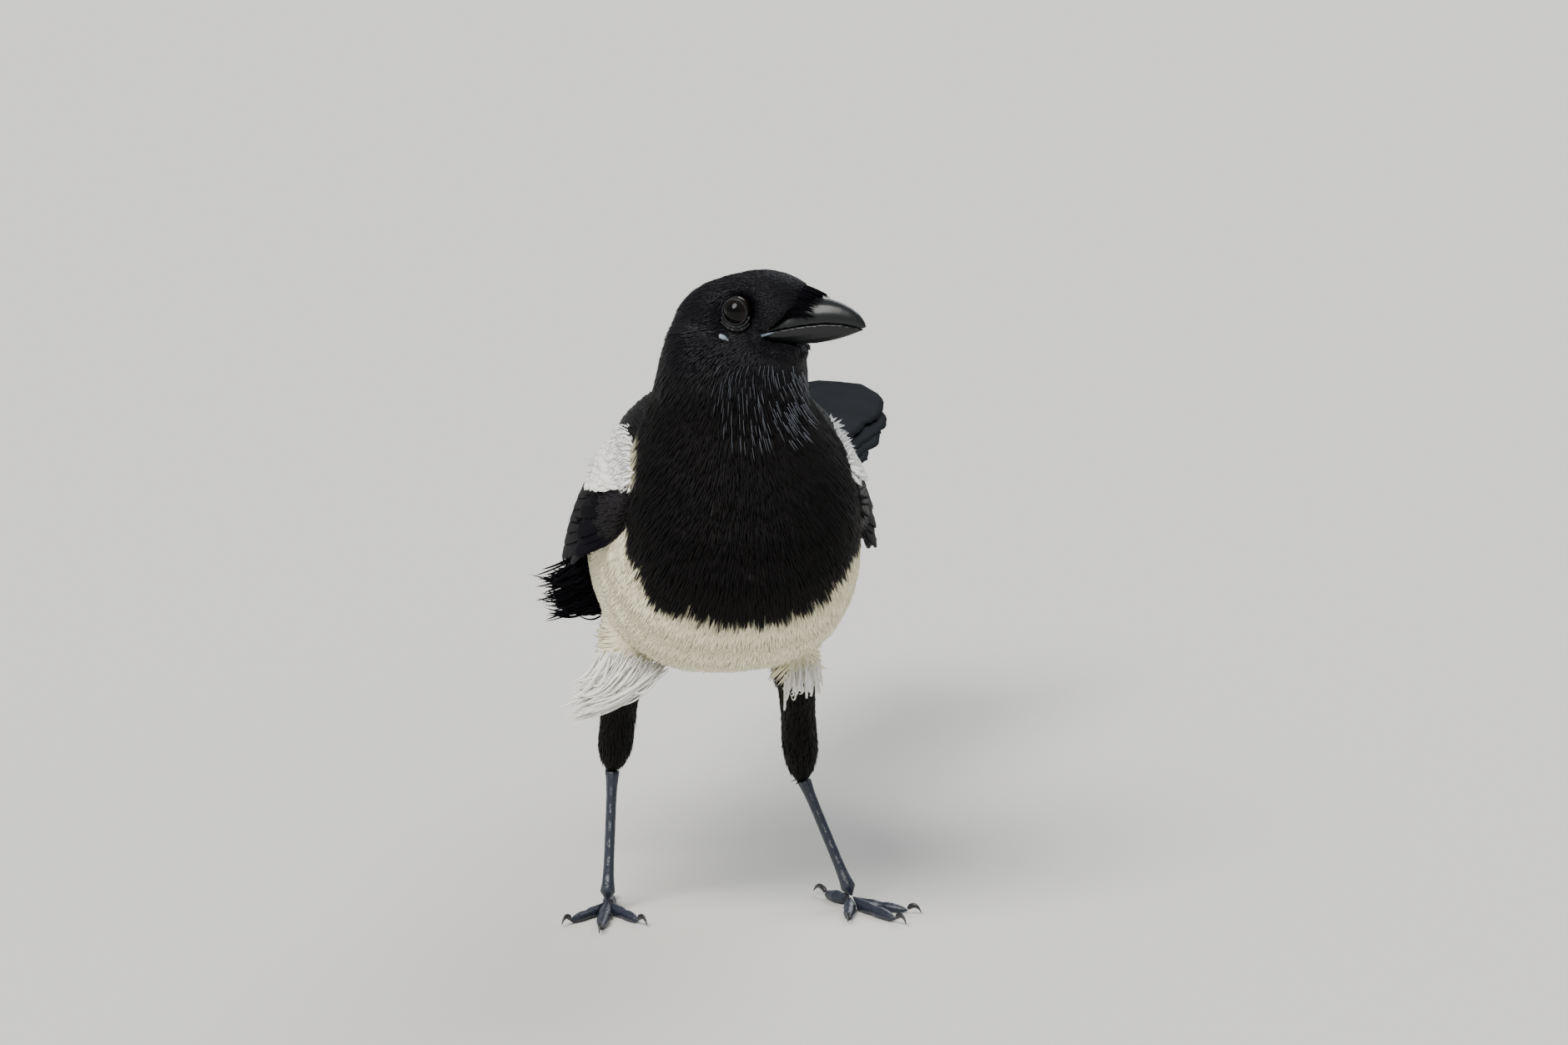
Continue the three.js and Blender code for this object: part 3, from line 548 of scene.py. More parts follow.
for side in ("right", "left"):
    count = wing_piece(side, "shoulder", shoulder(side), WHITE_VANE, [f"scapulars_{side}"])
    print("shoulder", side, count, "faces")

# %% [markdown]
# The tail is twelve feathers in steps, the middle pair longest and on top of the rest. Each pair has
# its share of the length, its half width and the angle by which it fans out.

# %% The tail
TAIL_ROOT = np.array([0.0, 94.0, 119.0])
TAIL_YAW, TAIL_PITCH, TAIL_ROLL = math.radians(25.6), math.radians(0.7), math.radians(12)
TAIL_LENGTH = 226
TIER_DROP = 1.02
TAIL_AHEAD = np.array([
    math.sin(TAIL_YAW) * math.cos(TAIL_PITCH),
    math.cos(TAIL_YAW) * math.cos(TAIL_PITCH),
    math.sin(TAIL_PITCH),
])
TAIL_LEVEL = np.array([math.cos(TAIL_YAW), -math.sin(TAIL_YAW), 0])
TAIL_SIDE = TAIL_LEVEL * math.cos(TAIL_ROLL) + np.cross(TAIL_AHEAD, TAIL_LEVEL) * math.sin(TAIL_ROLL)
TAIL_UP = np.cross(TAIL_SIDE, TAIL_AHEAD)
TAIL_PAIRS = [
    (1, 15.5, 0.8), (0.94, 14.5, 2.2), (0.85, 13.5, 3.4),
    (0.75, 12.5, 4.6), (0.65, 11.5, 5.8), (0.55, 10.5, 7)]
TAIL_LIFT, MIDDLE_BASE, PAIR_BASE = 3, 0.2, 0.8


def on_tail(across, along, up):
    across, along, up = (np.asarray(x, float)[..., None] for x in (across, along, up))
    return TAIL_ROOT + TAIL_SIDE * across + TAIL_AHEAD * along + TAIL_UP * up


def tail_path(hand, depth, share, fan, base):
    def path(s):
        along = TAIL_LENGTH * share * s
        across = hand * (base + math.tan(math.radians(fan)) * along)
        up = -TIER_DROP * depth + TAIL_LIFT * s * s
        return on_tail(across, along, up), np.broadcast_to(TAIL_UP, (len(s), 3))

    return path


tail_feathers = []
for pair, (share, half, fan) in enumerate(TAIL_PAIRS):
    for hand in (-1, 1):
        depth = pair + 1 if pair else (0 if hand > 0 else 1)
        path = tail_path(hand, depth, share, fan, PAIR_BASE * (pair + 1) if pair else MIDDLE_BASE)
        tail_feathers.append(long_feather(
            path, half, roll=-0.02 * hand, camber=0.05, tip_start=0.86, along=60, across=10, frayed=0.03))
points, faces, uv = gathered(tail_feathers)
piece("tail_feathers", points, faces, GREEN_VANE, uv, ["tail"])
print("tail", len(faces), "faces")

# %% [markdown]
# Upper and lower tail coverts lie from the rump over the roots of the tail.

# %% Tail coverts
COVERT_TIERS = [(7, 2, 50, 0.0), (6, -12, 44, 1.0), (5, -24, 40, 2.0)]
UPPER_LIFT, LOWER_LIFT, COVERT_ARCH, ARCH_START = (3.4, 2.4), (-11.0, -10.5), 3, 0.35
COVERT_TIER_STEP, COVERT_FALL, COVERT_SPREAD, SIDES_SHORTER = 1.1, 2.4, (8, 15), 0.2
COVERT_HALF = 5.5


def covert_path(upper, i, start, reach, tier):
    hand = 1 if upper else -1

    def path(s):
        if upper:
            lift = mix(*UPPER_LIFT, s) + COVERT_ARCH * np.sin(math.pi * np.minimum(1, s + ARCH_START))
        else:
            lift = mix(*LOWER_LIFT, s)
        up = lift + hand * (COVERT_TIER_STEP * tier - COVERT_FALL * i * i)
        points = on_tail(i * mix(*COVERT_SPREAD, s), start + reach * s, up)
        return points, np.broadcast_to(TAIL_UP * hand, (len(s), 3))

    return path


for upper in (True, False):
    made = []
    for count, start, length, tier in COVERT_TIERS:
        for k in range(count):
            i = 2 * k / (count - 1) - 1
            path = covert_path(upper, i, start, length * (1 - SIDES_SHORTER * i * i), tier)
            made.append(long_feather(
                path, COVERT_HALF, roll=0.06 * i, camber=0.14, tip_start=0.55, along=16, across=6,
                frayed=0.1))
    points, faces, uv = gathered(made)
    name = "tail_coverts_upper" if upper else "tail_coverts_lower"
    piece(name, points, faces, BLACK_VANE, uv)
    print(name, len(faces), "faces")

# %% [markdown]
# The skin is one closed surface in place of head, neck, torso, rump and thighs. Copies of the solids
# are joined and remeshed, which closes the cuts. A volume made from them is then read at a depth, so
# the surface lies inside the solids by the coat's depth and thin feathers drop out of it.

# %% The skin
FLESH = ["head", "neck", "torso", "rump", "thigh_left", "thigh_right"]
VOXEL = 0.0013
COAT_DEPTH = 0.0022
BAND = 0.003
WELD = 1e-6


def joined_copy(names, name):
    copies = [add_object(node + "_copy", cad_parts[node].data.copy()) for node in names]
    if len(copies) > 1:
        bpy.ops.object.select_all(action="DESELECT")
        for made in copies:
            made.select_set(True)
        bpy.context.view_layer.objects.active = copies[0]
        bpy.ops.object.join()
    copies[0].name = name
    return copies[0]


def apply_modifiers(made):
    """Replaces the object's mesh by its evaluated one."""
    graph = bpy.context.evaluated_depsgraph_get()
    mesh = bpy.data.meshes.new_from_object(made.evaluated_get(graph))
    made.modifiers.clear()
    made.data = mesh
    return made


def merged(made, distance=WELD):
    weld = made.modifiers.new("weld", "WELD")
    weld.merge_threshold = distance
    return apply_modifiers(made)


def remeshed(made, voxel):
    """Makes one closed surface of even facets."""
    remesh = made.modifiers.new("remesh", "REMESH")
    remesh.mode, remesh.voxel_size = "VOXEL", voxel
    return apply_modifiers(made)


def read_at_depth(made, depth, band, voxel):
    """Geometry Nodes: a fog that thickens inwards over the band, read where it is as deep as asked."""
    tree = bpy.data.node_groups.new("at_depth", "GeometryNodeTree")
    tree.interface.new_socket("Geometry", in_out="INPUT", socket_type="NodeSocketGeometry")
    tree.interface.new_socket("Geometry", in_out="OUTPUT", socket_type="NodeSocketGeometry")
    start = tree.nodes.new("NodeGroupInput")
    end = tree.nodes.new("NodeGroupOutput")
    fog = tree.nodes.new("GeometryNodeMeshToVolume")
    fog.resolution_mode = "VOXEL_SIZE"
    fog.inputs["Voxel Size"].default_value = voxel
    fog.inputs["Interior Band Width"].default_value = band
    surface = tree.nodes.new("GeometryNodeVolumeToMesh")
    surface.inputs["Threshold"].default_value = depth / band
    tree.links.new(start.outputs[0], fog.inputs["Mesh"])
    tree.links.new(fog.outputs[0], surface.inputs["Volume"])
    tree.links.new(surface.outputs[0], end.inputs[0])
    modifier = made.modifiers.new("at_depth", "NODES")
    modifier.node_group = tree
    return apply_modifiers(made)


skin = remeshed(merged(joined_copy(FLESH, "skin")), VOXEL)
print("remeshed", len(skin.data.vertices))
read_at_depth(skin, COAT_DEPTH, BAND, VOXEL)
print("skin", len(skin.data.vertices), "vertices")

# %% [markdown]
# Only the largest closed surface is kept. It is smoothed, the thin legs less than the body. Then it is
# brought out again on the face and legs, where feathers are shortest, so that bill and lids sit in it.

# %% Clean and smooth the skin


def keep_largest(made):
    """Drops all but the largest island of a mesh."""
    mesh = made.data
    edges = np.zeros(len(mesh.edges) * 2, np.int32)
    mesh.edges.foreach_get("vertices", edges)
    edges = edges.reshape(-1, 2)
    label = np.arange(len(mesh.vertices))
    while True:
        low = np.minimum(label[edges[:, 0]], label[edges[:, 1]])
        before = label.copy()
        np.minimum.at(label, edges[:, 0], low)
        np.minimum.at(label, edges[:, 1], low)
        label = label[label]
        if (label == before).all():
            break
    names, counts = np.unique(label, return_counts=True)
    keep = label == names[counts.argmax()]
    index = np.cumsum(keep) - 1
    points = vertices_of(mesh)[keep]
    faces = [tuple(index[list(f.vertices)]) for f in mesh.polygons if keep[f.vertices[0]]]
    fresh = bpy.data.meshes.new(made.name)
    fresh.from_pydata(points.tolist(), [], faces)
    made.data = fresh
    return made


def vertices_of(mesh):
    co = np.zeros(len(mesh.vertices) * 3, np.float32)
    mesh.vertices.foreach_get("co", co)
    return co.reshape(-1, 3).astype(float)


def normals_of(mesh):
    normal = np.zeros(len(mesh.vertices) * 3, np.float32)
    mesh.vertices.foreach_get("normal", normal)
    return normal.reshape(-1, 3).astype(float)


def smoothed(made, rounds):
    modifier = made.modifiers.new("smooth", "SMOOTH")
    modifier.iterations, modifier.factor = rounds, 0.5
    return apply_modifiers(made)


def from_frame(points):
    """The bird's millimetres from metres of the frame."""
    return points / MM - SHIFT


BILL_BASE = np.array([20.0, 0.0, -6.0])
FACE_DEPTH, FACE_NEAR, FACE_FAR = 0.6, 16, 34
LEG_ROUNDS, BODY_ROUNDS = 10, 16
LEGS_HELD, LEGS_GROWN, LEGS_BEHIND = (90, 100), (80, 90), (60, 70)

keep_largest(skin)
smoothed(skin, LEG_ROUNDS)
legs = from_frame(vertices_of(skin.data))
smoothed(skin, BODY_ROUNDS)
place = from_frame(vertices_of(skin.data))
place = mix(legs, place, smooth(*LEGS_HELD, place[:, 2:]))
short_coat = 1 - smooth(FACE_NEAR, FACE_FAR, np.linalg.norm(to_head(place) - BILL_BASE, axis=1))
on_leg = (1 - smooth(*LEGS_GROWN, place[:, 2])) * (1 - smooth(*LEGS_BEHIND, place[:, 1]))
short_coat = np.maximum(short_coat, on_leg)
grown = place + normals_of(skin.data) * (short_coat * (COAT_DEPTH / MM - FACE_DEPTH))[:, None]
skin.data.vertices.foreach_set("co", to_frame(grown).astype(np.float32).ravel())
skin.data.update()
shade_smooth(skin.data)
print("kept", len(skin.data.vertices), "vertices")

# %% [markdown]
# Markings are functions of place: the bib, hood and back are black, belly, flanks and shoulders
# white, thighs and vent black. The bib's edge is a line of heights across the breast, in millimetres
# to the right and up as the camera sees them. Tufts hang over it, so the line is set higher by that.

# %% Markings, lie and size of the coat
BLACK = np.array([0.0045, 0.0038, 0.0038])
HEAD_BLACK = np.array([0.0035, 0.0033, 0.0055])
# The white is a warm cream: partly the plumage's own tone and partly a painted yellow cast of light thrown
# up from the ground.
WHITE = np.array([0.9, 0.85, 0.60])
BIB_EDGE = np.array([
    [-60, 152], [-36, 143], [-33, 136], [-31.7, 130], [-30.9, 121.4], [-28.6, 115.7], [-26, 110],
    [-24, 104.3], [-19.4, 100], [-13.7, 99.1], [-6.6, 98], [3.4, 96.3], [14.9, 96.3], [22, 98.6],
    [30.6, 102.3], [34.9, 106.6], [38.3, 111.4], [43.4, 118.6], [47.4, 127], [52, 138], [60, 152]])
TUFTS_REACH = 3.0
SHOULDER_EDGE = {"right": [[-28.5, 148], [-28.5, 163]], "left": [[47, 148], [42, 161]]}
SHOULDER_SOFT, SHOULDER_TOP, SHOULDER_BACK = 1.5, (163, 165), (0, 6)
FLANK_LINE, FLANK_START, FLANK_LENGTH = row_curve([153, 152, 143, 129, 123]), -24, 163
FRONT_TO_FLANK, FRINGE, FRINGE_WAVES = (-8, 14), 0.8, ((0.8, 0.9, 0), (0.7, 2.3, 1))
THIGH_TOP, VENT_START, VENT_SOFT = 87.0, 60.0, 4
VIEW_DROP = 5.0


def in_view(p):
    """How far a point is to the right and up, as the camera sees it."""
    return p @ VIEW_RIGHT, p @ VIEW_UP - VIEW_DROP


def whiteness(p):
    """1 where the coat is white and 0 where it is black."""
    x, y, z = p[:, 0], p[:, 1], p[:, 2]
    right, up = in_view(p)
    bib = z - up + np.interp(right, *BIB_EDGE.T) + TUFTS_REACH
    flank = FLANK_LINE((y - FLANK_START) / FLANK_LENGTH)[:, 0]
    line = mix(bib, flank, smooth(*FRONT_TO_FLANK, y))
    ragged = sum(high * np.sin(x * often + start) for high, often, start in FRINGE_WAVES)
    white = smooth(-FRINGE, FRINGE, line + ragged - z)
    white = white * (1 - smooth(VENT_START - VENT_SOFT, VENT_START + VENT_SOFT, y + 0.15 * ragged))
    white = white * smooth(THIGH_TOP - 2.5, THIGH_TOP - 1.5, z)
    return np.maximum(white, on_shoulder(right, up, y))


def on_shoulder(right, up, y):
    """1 where the white of the shoulders comes round to the front of the neck."""
    here = np.zeros(len(y))
    for side, hand in (("right", -1), ("left", 1)):
        (r0, u0), (r1, u1) = SHOULDER_EDGE[side]
        past = hand * (right - mix(r0, r1, (up - u0) / (u1 - u0)))
        here = np.maximum(here, smooth(-SHOULDER_SOFT, SHOULDER_SOFT, past))
    height = smooth(u0 - 2, u0, up) * (1 - smooth(*SHOULDER_TOP, up))
    return here * height * (1 - smooth(*SHOULDER_BACK, y))


HEAD_START, HEAD_FULL, HEAD_COAT_FROM = 192, 214, (186, 206)
DOWN_BREAST, ALONG_BACK = np.array([0, 0.3, -1.0]), np.array([0, 1.0, -0.15])
OFF_FACE, DOWN_LEG = -HEAD_AHEAD + np.array([0, 0, -0.45]), np.array([0, 0.35, -1.0])
TURN_HEIGHT, TURN_REACH, OUTWARD = 150, 40, 60
RUMP_START, LEG_TOP = (80, 100), (80, 88)


def coat_lie(p):
    """The way the feathers point: back from the bill, down the neck and breast, then to the tail."""
    turn = smooth(-TURN_REACH, TURN_REACH, p[:, 1] - (p[:, 2] - TURN_HEIGHT) * 0.5)[:, None]
    body = mix(DOWN_BREAST, ALONG_BACK, turn)
    body = body + np.array([1, 0, 0]) * (p[:, :1] / OUTWARD) * (1 - turn)
    rump = smooth(*RUMP_START, p[:, 1])[:, None]
    leg = (1 - smooth(*LEG_TOP, p[:, 2]))[:, None] * (1 - rump)
    lie = mix(mix(body, OFF_FACE, smooth(HEAD_START, HEAD_FULL, p[:, 2])[:, None]), TAIL_AHEAD, rump)
    return mix(lie, DOWN_LEG, leg)


BODY_TUFT, FACE_TUFT, NAPE_TUFT = (7.0, 0.82), (1.6, 0.4), (4.0, 0.56)
LEG_TUFT, BELLY_LENGTH, FACE_REACH = (4.0, 0.7), 11.0, (12, 36)
BELLY_HEIGHT, BELLY_BACK = (120, 95), (-30, 20)


def coat_sizes(p):
    """Length and width of a tuft, in millimetres, by place."""
    face = smooth(*FACE_REACH, np.linalg.norm(to_head(p) - BILL_BASE, axis=1))
    head = smooth(*HEAD_COAT_FROM, p[:, 2])
    leg = 1 - smooth(*LEG_TOP, p[:, 2])
    length = mix(BODY_TUFT[0], mix(FACE_TUFT[0], NAPE_TUFT[0], face), head)
    belly = smooth(*BELLY_HEIGHT, p[:, 2]) * smooth(*BELLY_BACK, p[:, 1]) * (1 - head)
    length = mix(mix(length, BELLY_LENGTH, belly), LEG_TUFT[0], leg)
    width = mix(BODY_TUFT[1], mix(FACE_TUFT[1], NAPE_TUFT[1], face), head)
    return length, mix(width, LEG_TUFT[1], leg)


on_skin = whiteness(from_frame(vertices_of(skin.data)))
print("white share of the skin", round(float(on_skin.mean()), 2))

# %% [markdown]
# Colour, lie and sizes are stored on the skin, and each point is told its region, so that every
# region's coat can be a piece of its own.

# %% Store them on the skin


def store(mesh, name, kind, values):
    layer = mesh.attributes.new(name, kind, "POINT")
    field = {"FLOAT": "value", "FLOAT_VECTOR": "vector", "FLOAT_COLOR": "color", "INT": "value"}[kind]
    layer.data.foreach_set(field, np.ascontiguousarray(values).ravel())


REGIONS = [
    "crown", "cheek_right", "cheek_left", "throat", "neck_right", "neck_left", "breast_right",
    "breast_left", "belly_right", "belly_left", "back_right", "back_left", "rump", "legs"]
FRONT_LINE, FRONT_SLOPE, FRONT_MOST = 152, 0.6, -30
NECK_BOTTOM, NECK_BACK, RUMP_FROM, LEGS_BELOW, LEGS_BEFORE = 166, 14, 70, 86, 66
CROWN_FROM, CHEEK_FROM = 2, -18
PALE_ENOUGH = 0.02


def with_alpha(tint):
    return np.column_stack([tint, np.ones(len(tint))]).astype(np.float32)


place = from_frame(vertices_of(skin.data))
normal = normals_of(skin.data)
white = whiteness(place)
black = mix(BLACK, HEAD_BLACK, smooth(*HEAD_COAT_FROM, place[:, 2])[:, None])
tint = mix(black, WHITE, white[:, None])
lie = coat_lie(place)
lie = unit(lie - normal * (lie * normal).sum(1, keepdims=True))
length, width = coat_sizes(place)
local = to_head(place)

y, z, up = place[:, 1], place[:, 2], local[:, 2]
on_left = place[:, 0] > 0
front = (z + FRONT_SLOPE * y < FRONT_LINE) | (y < FRONT_MOST)
region = np.zeros(len(place), int)


def claim(here, name, left=None):
    """Gives points to a region or, where left is known, to the left or right one of a pair."""
    if left is None:
        region[here] = REGIONS.index(name)
    else:
        pair = np.where(left, REGIONS.index(name + "_left"), REGIONS.index(name + "_right"))
        region[here] = pair[here]


claim(np.ones(len(place), bool), "back", on_left)
claim(front, "breast", on_left)
claim(front & (white > PALE_ENOUGH), "belly", on_left)
claim(y > RUMP_FROM, "rump")
claim((z > NECK_BOTTOM) & (y < NECK_BACK), "neck", on_left)
claim(z > HEAD_START, "throat")
claim((z > HEAD_START) & (up > CHEEK_FROM), "cheek", local[:, 1] > 0)
claim((z > HEAD_START) & (up > CROWN_FROM), "crown")
claim((z < LEGS_BELOW) & (y < LEGS_BEFORE), "legs")

store(skin.data, "tint", "FLOAT_COLOR", with_alpha(tint))
store(skin.data, "lie", "FLOAT_VECTOR", lie.astype(np.float32))
store(skin.data, "long", "FLOAT", (length * MM).astype(np.float32))
store(skin.data, "wide", "FLOAT", (width * MM).astype(np.float32))
store(skin.data, "region", "INT", region.astype(np.int32))
print({name: int((region == i).sum()) for i, name in enumerate(REGIONS)})

# %% [markdown]
# The unwrap of the skin's own shape gives each tuft its patch in the colour map.

# %% Unwrap the skin
UNWRAP_DEGREES, ISLAND_MARGIN = 66, 0.004

bpy.ops.object.select_all(action="DESELECT")
skin.select_set(True)
bpy.context.view_layer.objects.active = skin
bpy.ops.object.mode_set(mode="EDIT")
bpy.ops.mesh.select_all(action="SELECT")
bpy.ops.uv.smart_project(angle_limit=math.radians(UNWRAP_DEGREES), island_margin=ISLAND_MARGIN)
bpy.ops.object.mode_set(mode="OBJECT")
skin.data.uv_layers[0].name = "OFBake"
skin.data.materials.clear()
skin.data.materials.append(SKIN_MATERIAL)
print("unwrapped", len(skin.data.uv_layers), "map")

# %% [markdown]
# One tuft is a thin closed blade of three sides, bent over its length and pointed. It is a metre
# long here, so that the nodes can scale it to its place.

# %% The tuft
TUFT_RINGS = [(0.0, 0.6, 0.0), (0.34, 1.0, 0.12), (0.72, 0.72, 0.1)]
TUFT_THICK, TIP_HEIGHT = 0.14, 0.06
PATCH = 0.003


def make_tuft():
    points, tips = [], []
    for along, wide, high in TUFT_RINGS:
        points += [(-wide / 2, along, high), (wide / 2, along, high), (0, along, high + TUFT_THICK * wide)]
        tips += [along] * 3
    points.append((0, 1, TIP_HEIGHT))
    tips.append(1.0)
    faces = [(2, 1, 0)]
    for ring in range(len(TUFT_RINGS) - 1):
        a, b = 3 * ring, 3 * ring + 3
        faces += [(a + i, a + (i + 1) % 3, b + (i + 1) % 3, b + i) for i in range(3)]
    last = 3 * (len(TUFT_RINGS) - 1)
    faces += [(last + i, last + (i + 1) % 3, len(points) - 1) for i in range(3)]
    mesh = bpy.data.meshes.new("tuft")
    mesh.from_pydata(points, [], faces)
    shade_smooth(mesh)
    store(mesh, "tip", "FLOAT", np.array(tips, np.float32))
    patch = np.array([(x * PATCH, (y - 0.5) * PATCH, 0) for x, y, _ in points], np.float32)
    store(mesh, "patch", "FLOAT_VECTOR", patch)
    made = add_object("tuft", mesh)
    made.hide_render = True
    return made


tuft = make_tuft()
print("tuft", len(tuft.data.polygons), "faces")

# %% [markdown]
# Geometry Nodes scatter tufts over one region of the skin. Each stands on its root, points along
# the lie with a little scatter, and takes size and colour from the skin under it.

# %% The coat's node tree
class Tree:
    """A short way to write a node tree."""

    def __init__(self, name):
        self.tree = bpy.data.node_groups.new(name, "GeometryNodeTree")

    def socket(self, name, kind, side="INPUT"):
        return self.tree.interface.new_socket(name, in_out=side, socket_type=kind)

    def node(self, kind, links=(), values=(), **settings):
        made = self.tree.nodes.new(kind)
        for key, value in settings.items():
            setattr(made, key, value)
        for key, value in dict(values).items():
            made.inputs[key].default_value = value
        for key, source in dict(links).items():
            self.tree.links.new(source, made.inputs[key])
        return made

    def named(self, name, kind):
        """The value that the mesh keeps under a name."""
        return self.node("GeometryNodeInputNamedAttribute", values={"Name": name}, data_type=kind).outputs[0]

    def stored(self, geometry, name, value, kind, domain):
        """Keeps a value on the geometry under a name."""
        links = {"Geometry": geometry, "Value": value}
        made = self.node(
            "GeometryNodeStoreNamedAttribute", links, {"Name": name}, data_type=kind, domain=domain)
        return made.outputs[0]

    def math(self, operation, a, b):
        return maths(self.tree, operation, a, b)

    def random(self, low, high, seed):
        made = self.node("FunctionNodeRandomValue", data_type="FLOAT")
        made.inputs[2].default_value, made.inputs[3].default_value = low, high
        made.inputs["Seed"].default_value = seed
        return made.outputs[1]


COAT_SOCKETS = {
    "Tuft": "NodeSocketObject", "Region": "NodeSocketInt", "Cover": "NodeSocketFloat",
    "Seed": "NodeSocketInt", "Lift": "NodeSocketFloat", "Scatter": "NodeSocketFloat",
    "Material": "NodeSocketMaterial"}
LIFT_VARIES, ROLL_VARIES, YAW_VARIES = (0.5, 1.5), (-0.8, 0.8), (-1, 1)
LENGTH_VARIES, GIRTH_VARIES = (0.7, 1.25), (0.7, 1.3)
# Each tuft is painted darker at its root, a painted shade where the tufts overlap it, and is also lighter or
# darker by chance.
LEAST_LIGHT, CHANCE_LIGHT, TIP_LIGHT = 0.9, 0.12, 0.06


def coat_tree():
    t = Tree("coat")
    t.socket("Geometry", "NodeSocketGeometry")
    for name, kind in COAT_SOCKETS.items():
        t.socket(name, kind)
    t.socket("Geometry", "NodeSocketGeometry", "OUTPUT")
    given = t.node("NodeGroupInput").outputs
    long, wide = t.named("long", "FLOAT"), t.named("wide", "FLOAT")
    density = t.math("DIVIDE", given["Cover"], t.math("MULTIPLY", long, wide))
    regions = {2: t.named("region", "INT"), 3: given["Region"]}
    here = t.node("FunctionNodeCompare", regions, data_type="INT", operation="EQUAL")
    roots = t.node("GeometryNodeDistributePointsOnFaces", {
        "Mesh": given["Geometry"], "Selection": here.outputs[0], "Density": density, "Seed": given["Seed"]})
    stand = t.node("FunctionNodeAxesToRotation", {
        "Primary Axis": roots.outputs["Normal"], "Secondary Axis": t.named("lie", "FLOAT_VECTOR")},
        primary_axis="Z", secondary_axis="Y")
    turn = t.node("ShaderNodeCombineXYZ", {
        "X": t.math("MULTIPLY", given["Lift"], t.random(*LIFT_VARIES, 1)),
        "Y": t.math("MULTIPLY", given["Scatter"], t.random(*ROLL_VARIES, 2)),
        "Z": t.math("MULTIPLY", given["Scatter"], t.random(*YAW_VARIES, 3))})
    euler = t.node("FunctionNodeEulerToRotation", {0: turn.outputs[0]})
    turned = t.node(
        "FunctionNodeRotateRotation", {0: stand.outputs[0], 1: euler.outputs[0]}, rotation_space="LOCAL")
    length = t.math("MULTIPLY", long, t.random(*LENGTH_VARIES, 4))
    across = t.math("MULTIPLY", wide, t.random(*GIRTH_VARIES, 5))
    size = t.node("ShaderNodeCombineXYZ", {"X": across, "Y": length, "Z": across})
    info = t.node("GeometryNodeObjectInfo", {"Object": given["Tuft"]})
    blades = t.node("GeometryNodeInstanceOnPoints", {
        "Points": roots.outputs["Points"], "Instance": info.outputs["Geometry"],
        "Rotation": turned.outputs[0], "Scale": size.outputs[0]})
    kept = t.stored(blades.outputs[0], "chance", t.random(0, 1, 6), "FLOAT", "INSTANCE")
    real = t.node("GeometryNodeRealizeInstances", {"Geometry": kept})
    # Painted shade: the tint is darkened towards each tuft's root, and its tone also changes at random from
    # tuft to tuft.
    by_chance = t.math("MULTIPLY", t.named("chance", "FLOAT"), CHANCE_LIGHT)
    by_tip = t.math("MULTIPLY", t.named("tip", "FLOAT"), TIP_LIGHT)
    light = t.math("ADD", by_chance, t.math("ADD", by_tip, LEAST_LIGHT))
    tint = {0: t.named("tint", "FLOAT_COLOR"), "Scale": light}
    shaded = t.node("ShaderNodeVectorMath", tint, operation="SCALE")
    coloured = t.stored(real.outputs[0], "tint", shaded.outputs[0], "FLOAT_COLOR", "POINT")
    places = {0: t.named("OFBake", "FLOAT_VECTOR"), 1: t.named("patch", "FLOAT_VECTOR")}
    patch = t.node("ShaderNodeVectorMath", places, operation="ADD")
    mapped = t.stored(coloured, "OFBake", patch.outputs[0], "FLOAT2", "CORNER")
    painted = t.node("GeometryNodeSetMaterial", {"Geometry": mapped, "Material": given["Material"]})
    t.node("NodeGroupOutput", {0: painted.outputs[0]})
    return t.tree


COAT_TREE = coat_tree()
print("coat tree", len(COAT_TREE.nodes), "nodes")

# %% [markdown]
# Each region is a piece of its own, with its share of cover, the tufts' lift from the skin, and
# how far they stray from the lie.

# %% Grow the coat
HEAD_COAT, BODY_COAT, BELLY_COAT = (6.0, 0.08, 0.1), (6.3, 0.05, 0.08), (6.3, 0.03, 0.07)
LOOSE_COAT = (4.4, 0.12, 0.18)
FIRST_SEED = 11
COAT = {name: BELLY_COAT if "belly" in name else BODY_COAT for name in REGIONS}
COAT.update(crown=HEAD_COAT, cheek_right=HEAD_COAT, cheek_left=HEAD_COAT, throat=HEAD_COAT)
COAT.update(legs=LOOSE_COAT, rump=LOOSE_COAT)
WORKING_ATTRIBUTES = {"lie", "long", "wide", "region", "patch", "tip", "chance"}


def grow(skin_mesh, name, number, cover, lift, scatter, slot_name, material=COAT_MATERIAL):
    """Covers one region of a skin with tufts, as a piece of its own."""
    made = add_object("coat_" + name, skin_mesh)
    modifier = made.modifiers.new("coat", "NODES")
    modifier.node_group = COAT_TREE
    inputs = [item for item in COAT_TREE.interface.items_tree if item.in_out == "INPUT"]
    sockets = {item.name: item.identifier for item in inputs}
    given = {"Tuft": tuft, "Region": number, "Cover": cover, "Seed": FIRST_SEED + number, "Lift": lift,
             "Scatter": scatter, "Material": material}
    for key, value in given.items():
        modifier[sockets[key]] = value
    apply_modifiers(made)
    for layer in [a.name for a in made.data.attributes if a.name in WORKING_ATTRIBUTES]:
        made.data.attributes.remove(made.data.attributes[layer])
    triangles = sum(len(f.vertices) - 2 for f in made.data.polygons)
    print(made.name, triangles, "triangles")
    return declare(made)


for number, (name, settings) in enumerate(COAT.items()):
    slot_name = "white_plumage" if "belly" in name else "black_plumage"
    material = HEAD_MATERIAL if settings is HEAD_COAT else COAT_MATERIAL
    grow(skin.data, name, number, *settings, slot_name, material)
declare(skin, FLESH)
